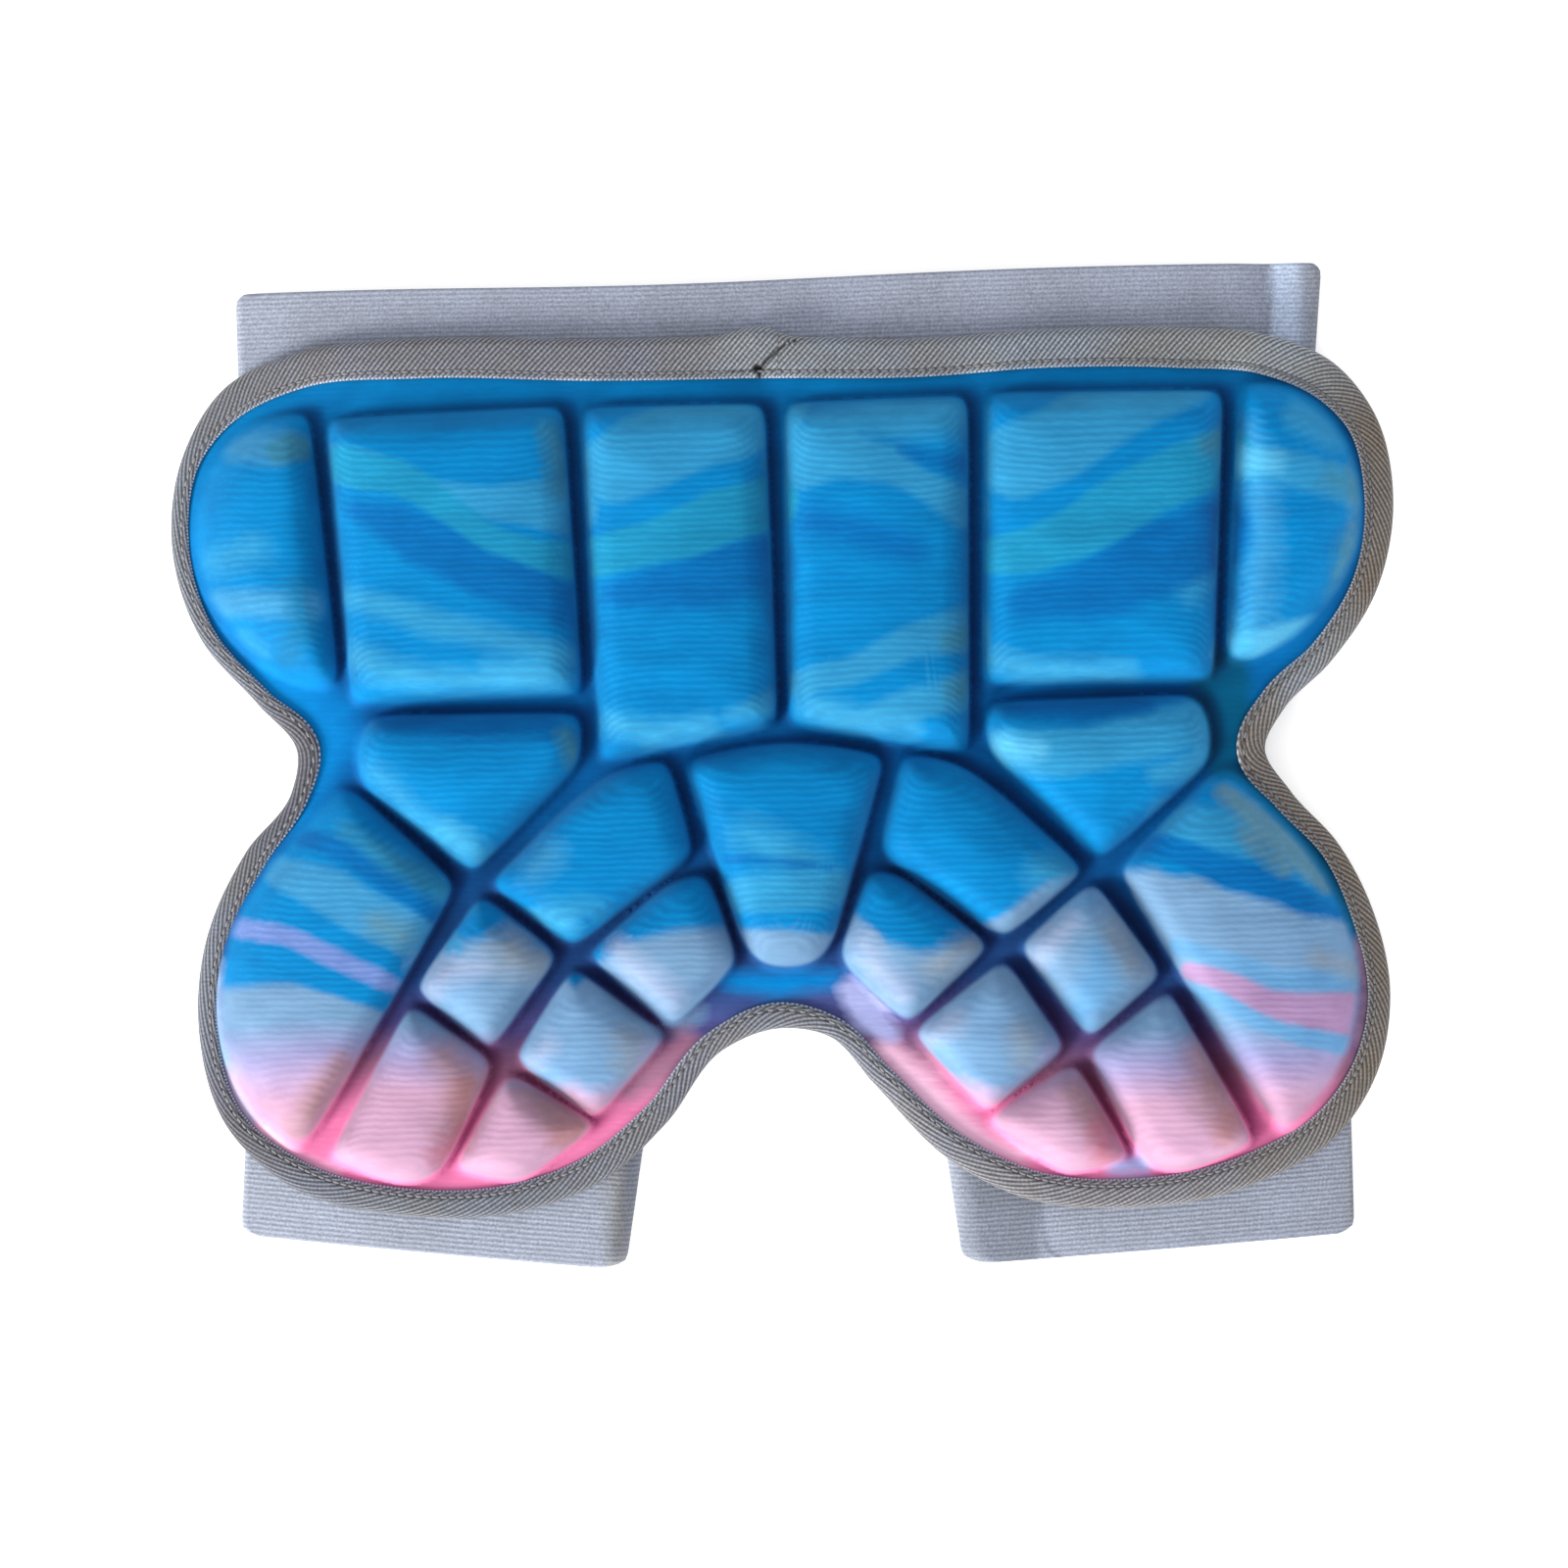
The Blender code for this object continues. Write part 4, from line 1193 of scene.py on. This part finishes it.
def build_binding(material):
    stations = tape_stations()
    inward = inward_of(stations)
    heading = np.degrees(np.arctan2(inward[:, 0], -inward[:, 1]))
    slant = np.radians(np.interp(heading, TWILL_HEADINGS, TWILL_SLANTS))
    step = np.diff(stations[:, 3], prepend=0)
    leads = np.cumsum(step * np.sin(slant))
    cross_leads = np.cumsum(step * np.cos(slant))
    places = []
    numbers = {"twill": [], "cross": [], "run": [], "from_lip": [], "join_shadow_and_hole": [], "tint_and_painted_light": []}
    # Painted light and shade with the tape's dye, spread between these stretches
    anchors = np.array([[row.right, row.down, *TAPE_TONES[row.tone]] for row in TAPE_STRETCHES])
    for (across, along, lap, run), into, lead, cross, turn in zip(stations, inward, leads, cross_leads, slant):
        section = np.array(tape_section(lap, join_bulge(across, along)))
        points = np.array([across, along]) + section[:, :1] * into
        ring = on_table(points, section[:, 1])
        join_shadow_and_hole = np.zeros(len(ring))
        if along > 0 and abs(across - JOIN_PEAK) < JOIN_LEFT:
            inside, hole = lapped_end(ring)
            over = smooth_step(inside / 3 + 0.5) * smooth_step((JOIN_LEFT + across - JOIN_PEAK) / JOIN_LEFT)
            front = smooth_step((section[:, 1] - FLANGE) / TAPE)
            ring[:, 2] += front * (JOIN_PLY * over - 1.2 * hole)
            # Painted shadow just past the lapped end's edge, and its hole
            join_shadow_and_hole = front * np.maximum(hole, np.exp(-(((inside + 2) / 2.2) ** 2)))
        places.append(ring)
        around = np.concatenate([[0], np.cumsum(np.hypot(*np.diff(section, axis=0).T))])
        numbers["twill"].append(lead - around * math.cos(turn))
        numbers["cross"].append(cross + around * math.sin(turn))
        numbers["run"].append(np.full(len(section), run))
        numbers["from_lip"].append(around)
        numbers["join_shadow_and_hole"].append(join_shadow_and_hole)
        right, down = photo_pixel(ring)
        nearness = 1 / ((right[:, None] - anchors[:, 0]) ** 2 + (down[:, None] - anchors[:, 1]) ** 2 + 400)
        numbers["tint_and_painted_light"].append(nearness @ anchors[:, 2:] / nearness.sum(axis=1, keepdims=True))
    size = len(places[0])
    count = len(places)
    faces = []
    for i in range(count):
        for j in range(size):
            a = i * size + j
            b = i * size + (j + 1) % size
            c = (i + 1) % count * size + (j + 1) % size
            d = (i + 1) % count * size + j
            faces.append([d, c, b, a])
    attributes = {name: np.concatenate(rows) for name, rows in numbers.items()}
    return new_piece("edge_binding_visual", np.vstack(places), faces, material, attributes)


def bead(centre, ahead, up, size):
    """A small stitch: a squashed ball with its longest way ahead."""
    side = np.cross(up, ahead)
    points = [centre - ahead * size[0]]
    rings, spokes = 4, 6
    for k in range(1, rings):
        angle = math.pi * k / rings
        for i in range(spokes):
            turn = 2 * math.pi * i / spokes
            round_part = side * math.cos(turn) * size[1] + up * math.sin(turn) * size[2]
            points.append(centre - ahead * math.cos(angle) * size[0] + math.sin(angle) * round_part)
    points.append(centre + ahead * size[0])
    last = len(points) - 1
    faces = []
    for i in range(spokes):
        after = (i + 1) % spokes
        faces.append([0, 1 + after, 1 + i])
        faces.append([last, last - spokes + i, last - spokes + after])
        for k in range(rings - 2):
            a = 1 + k * spokes
            faces.append([a + i, a + after, a + spokes + after, a + spokes + i])
    return points, faces


def build_stitches(material):
    """The row of thread that holds the tape."""
    stations = tape_stations()
    inward = inward_of(stations)
    run = stations[:, 3]
    places = []
    faces = []
    for at in np.arange(0, run[-1], run[-1] / round(run[-1] / STITCH_PITCH)):
        row = np.array([np.interp(at, run, column) for column in stations.T])
        into = np.array([np.interp(at, run, column) for column in inward.T])
        inset = row[2] - SEAM_IN
        spot = row[:2] + into * inset
        ends = np.array([spot, spot + 0.5 * np.array([-into[1], into[0]])])
        centre, beyond = on_table(ends, tape_top(row[2], inset) + 0.12)
        ahead = (beyond - centre) / np.linalg.norm(beyond - centre)
        points, quads = bead(centre, ahead, np.array([0.0, 0.0, 1.0]), STITCH_SIZE)
        faces += [[len(places) + c for c in quad] for quad in quads]
        places += points
    return new_piece("binding_stitches", places, faces, material, {})


def under_pad(x, y):
    """The highest that a loop's upper ply may lie here."""
    across, _ = mould_place(x, y)
    return back_height(across) - GAP - TAPE - GAP


def band_section(left, right, lap_length, creased):
    """Outer and inner outline of a flattened loop, as (x, y, z), where its width is crossed here."""
    left = np.array(left, float)
    right = np.array(right, float)
    length = np.hypot(*(right - left))
    ahead = (right - left) / length
    lap = LEG_LAP if lap_length else 0.0

    def top(run):
        sink = lap * float(smooth_step((run - lap_length) / 3 + 0.5))
        if creased:
            sink += CREASE_DEPTH * max(0.0, 1 - abs(length - CREASE_IN - run) / CREASE_WIDTH)
        return under_pad(*(left + ahead * run)) - sink

    left_fold = min(LONGEST_FOLD, top(0.0) / 2)
    right_fold = min(LONGEST_FOLD, top(length) / 2)
    runs = np.linspace(left_fold, length - right_fold, 40)
    outer = [(run, 0.0) for run in runs]
    inner = [(run, PLY) for run in runs]

    def fold(centre, reach, height, start, wall):
        for step in range(1, 14):
            angle = start + math.pi * step / 14
            level = math.sin(angle)
            thick = PLY + wall * (1 + level) / 2
            slim = max(0.12, 1 - thick / reach)
            low = max(0.12, 1 - thick / (height / 2))
            outer.append((centre + reach * math.cos(angle), height / 2 * (1 + level)))
            inner.append((centre + reach * slim * math.cos(angle), height / 2 * (1 + low * level)))

    fold(length - right_fold, right_fold, top(length - right_fold), -math.pi / 2, 0.0)
    runs = list(np.linspace(length - right_fold, left_fold, 150))
    if lap_length:
        runs = sorted([*runs, *(lap_length + np.linspace(-1.5, 1.5, 7))], reverse=True)
    for run in runs:
        outer.append((run, top(run)))
        inner.append((run, (top(run) if creased else under_pad(*(left + ahead * run)) - lap) - PLY))
    fold(left_fold, left_fold, top(left_fold), math.pi / 2, lap)

    def in_space(rows):
        return [(*(left + ahead * run), height) for run, height in rows]

    return in_space(outer), in_space(inner)


def build_band(name, band, material):
    """A loop of elastic, skinned outside and inside, with its selvedges closed."""
    shares = np.concatenate([[0.0, 0.006, 0.016, 0.04], np.linspace(0.08, 0.92, 18), [0.96, 0.984, 0.994, 1.0]])
    faces_waist = band.open_left[1] > band.hidden_left[1]
    if faces_waist:
        shares = shares[::-1]
    rows = []
    wefts = []
    warps = []
    width = math.dist(band.hidden_left, band.open_left)
    for share in shares:
        rounding = max(0.0, 1 - min(share, 1 - share) / 0.06) ** 2
        left = np.array(band.hidden_left) * (1 - share) + np.array(band.open_left) * share
        right = np.array(band.hidden_right) * (1 - share) + np.array(band.open_right) * share
        ease = (right - left) / np.hypot(*(right - left)) * band.easing * rounding
        outer, inner = map(np.array, band_section(left + ease, right - ease, band.lap_length, faces_waist))
        if faces_waist:
            for rim in (outer, inner):
                rim[:, 1] -= share * SAG_DEPTH * np.exp(-(((rim[:, 0] - SAG_MIDDLE) / SAG_WIDTH) ** 2))
        pinch = 0.3 * max(0.0, 1 - min(share, 1 - share) * width / 0.8)
        middle = (outer + inner) / 2
        outer = outer + (middle - outer) * pinch
        inner = inner + (middle - inner) * pinch
        run = np.concatenate([[0], np.cumsum(np.linalg.norm(np.diff(outer, axis=0), axis=1))])
        rows.append((outer, inner))
        warps += [run, run]
        wefts += [np.full(2 * len(outer), share * width)]
    size = len(rows[0][0])
    places = np.vstack([part for pair in rows for part in pair]) + (SHIFT_X, SHIFT_Y, 0.0)
    last = len(rows) - 1
    faces = []
    for i in range(size):
        after = (i + 1) % size
        for j in range(last):
            here = j * 2 * size
            there = (j + 1) * 2 * size
            faces.append([here + i, here + after, there + after, there + i])
            faces.append([here + size + after, here + size + i, there + size + i, there + size + after])
        faces.append([after, i, size + i, size + after])
        end = last * 2 * size
        faces.append([end + i, end + after, end + size + after, end + size + i])
    table = np.array([[place, *ELASTIC_TONES[tone]] for tone, place in BAND_CHARTS[name]])
    right = photo_pixel(places)[0]
    tint_and_painted_light = np.stack([np.interp(right, table[:, 0], column) for column in table[:, 1:].T], axis=1)
    attributes = {"weft": np.concatenate(wefts), "warp": np.concatenate(warps), "tint_and_painted_light": tint_and_painted_light}
    return new_piece(name + "_visual", places, faces, material, attributes)


def build_camera():
    data = bpy.data.cameras.new("camera")
    data.sensor_width = SENSOR
    data.lens = SENSOR * CAMERA_HEIGHT / (MM_PER_PIXEL * FRAME_PIXELS)
    data.clip_start = 0.01
    data.clip_end = 20.0
    camera = bpy.data.objects.new("camera", data)
    camera.location = (CAMERA_X * MM, CAMERA_Y * MM, CAMERA_HEIGHT * MM)
    bpy.context.scene.collection.objects.link(camera)
    bpy.context.scene.camera = camera


def build_light(name, place, aim, size, power, colour=(1, 1, 1)):
    data = bpy.data.lights.new(name, "AREA")
    data.shape = "DISK"
    data.size = size
    data.energy = power
    data.color = colour
    light = bpy.data.objects.new(name, data)
    light.location = place
    light.rotation_euler = (Vector(aim) - Vector(place)).to_track_quat("-Z", "Y").to_euler()
    bpy.context.scene.collection.objects.link(light)


def build_studio():
    mesh = bpy.data.meshes.new("floor")
    reach = 3.0
    corners = [(-reach, -reach), (reach, -reach), (reach, reach), (-reach, reach)]
    mesh.from_pydata([(x, y, -0.0002) for x, y in corners], [], [[0, 1, 2, 3]])
    shader = Shader("pale_floor")
    shader.base.inputs["Emission Color"].default_value = (1, 1, 1, 1)
    shader.base.inputs["Emission Strength"].default_value = FLOOR_GLOW
    mesh.materials.append(shader.finish((0.85, 0.85, 0.85, 1), 0.9, None))
    floor = bpy.data.objects.new("floor", mesh)
    bpy.context.scene.collection.objects.link(floor)
    for name, turn, rise, distance, size, power in LIGHTS:
        flat = distance * math.cos(math.radians(rise))
        place = (
            flat * math.cos(math.radians(turn)),
            flat * math.sin(math.radians(turn)),
            distance * math.sin(math.radians(rise)),
        )
        build_light(name, place, (0, 0, 0), size, power, LIGHT_COLOUR)
    world = bpy.data.worlds.new("studio")
    world.use_nodes = True
    background = world.node_tree.nodes["Background"]
    background.inputs["Color"].default_value = (1, 1, 1, 1)
    background.inputs["Strength"].default_value = WORLD_LEVEL
    scene = bpy.context.scene
    scene.world = world
    scene.view_settings.view_transform = "Standard"


def main():
    for obj in [o for o in bpy.data.objects if o.type in ("LIGHT", "CAMERA")]:
        bpy.data.objects.remove(obj, do_unlink=True)
    knit = knit_material()
    tape = tape_material()
    elastic = elastic_material()
    pad = build_pad(knit)
    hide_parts("moulded_pad")
    binding = build_binding(tape)
    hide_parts("edge_binding")
    stitches = build_stitches(thread_material())
    pieces = [pad, binding, stitches]
    for name, band in BANDS.items():
        loop = build_band(name, band, elastic)
        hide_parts(name)
        pieces.append(loop)
    for piece in pieces:
        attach(piece, "root")
    build_camera()
    build_studio()


main()
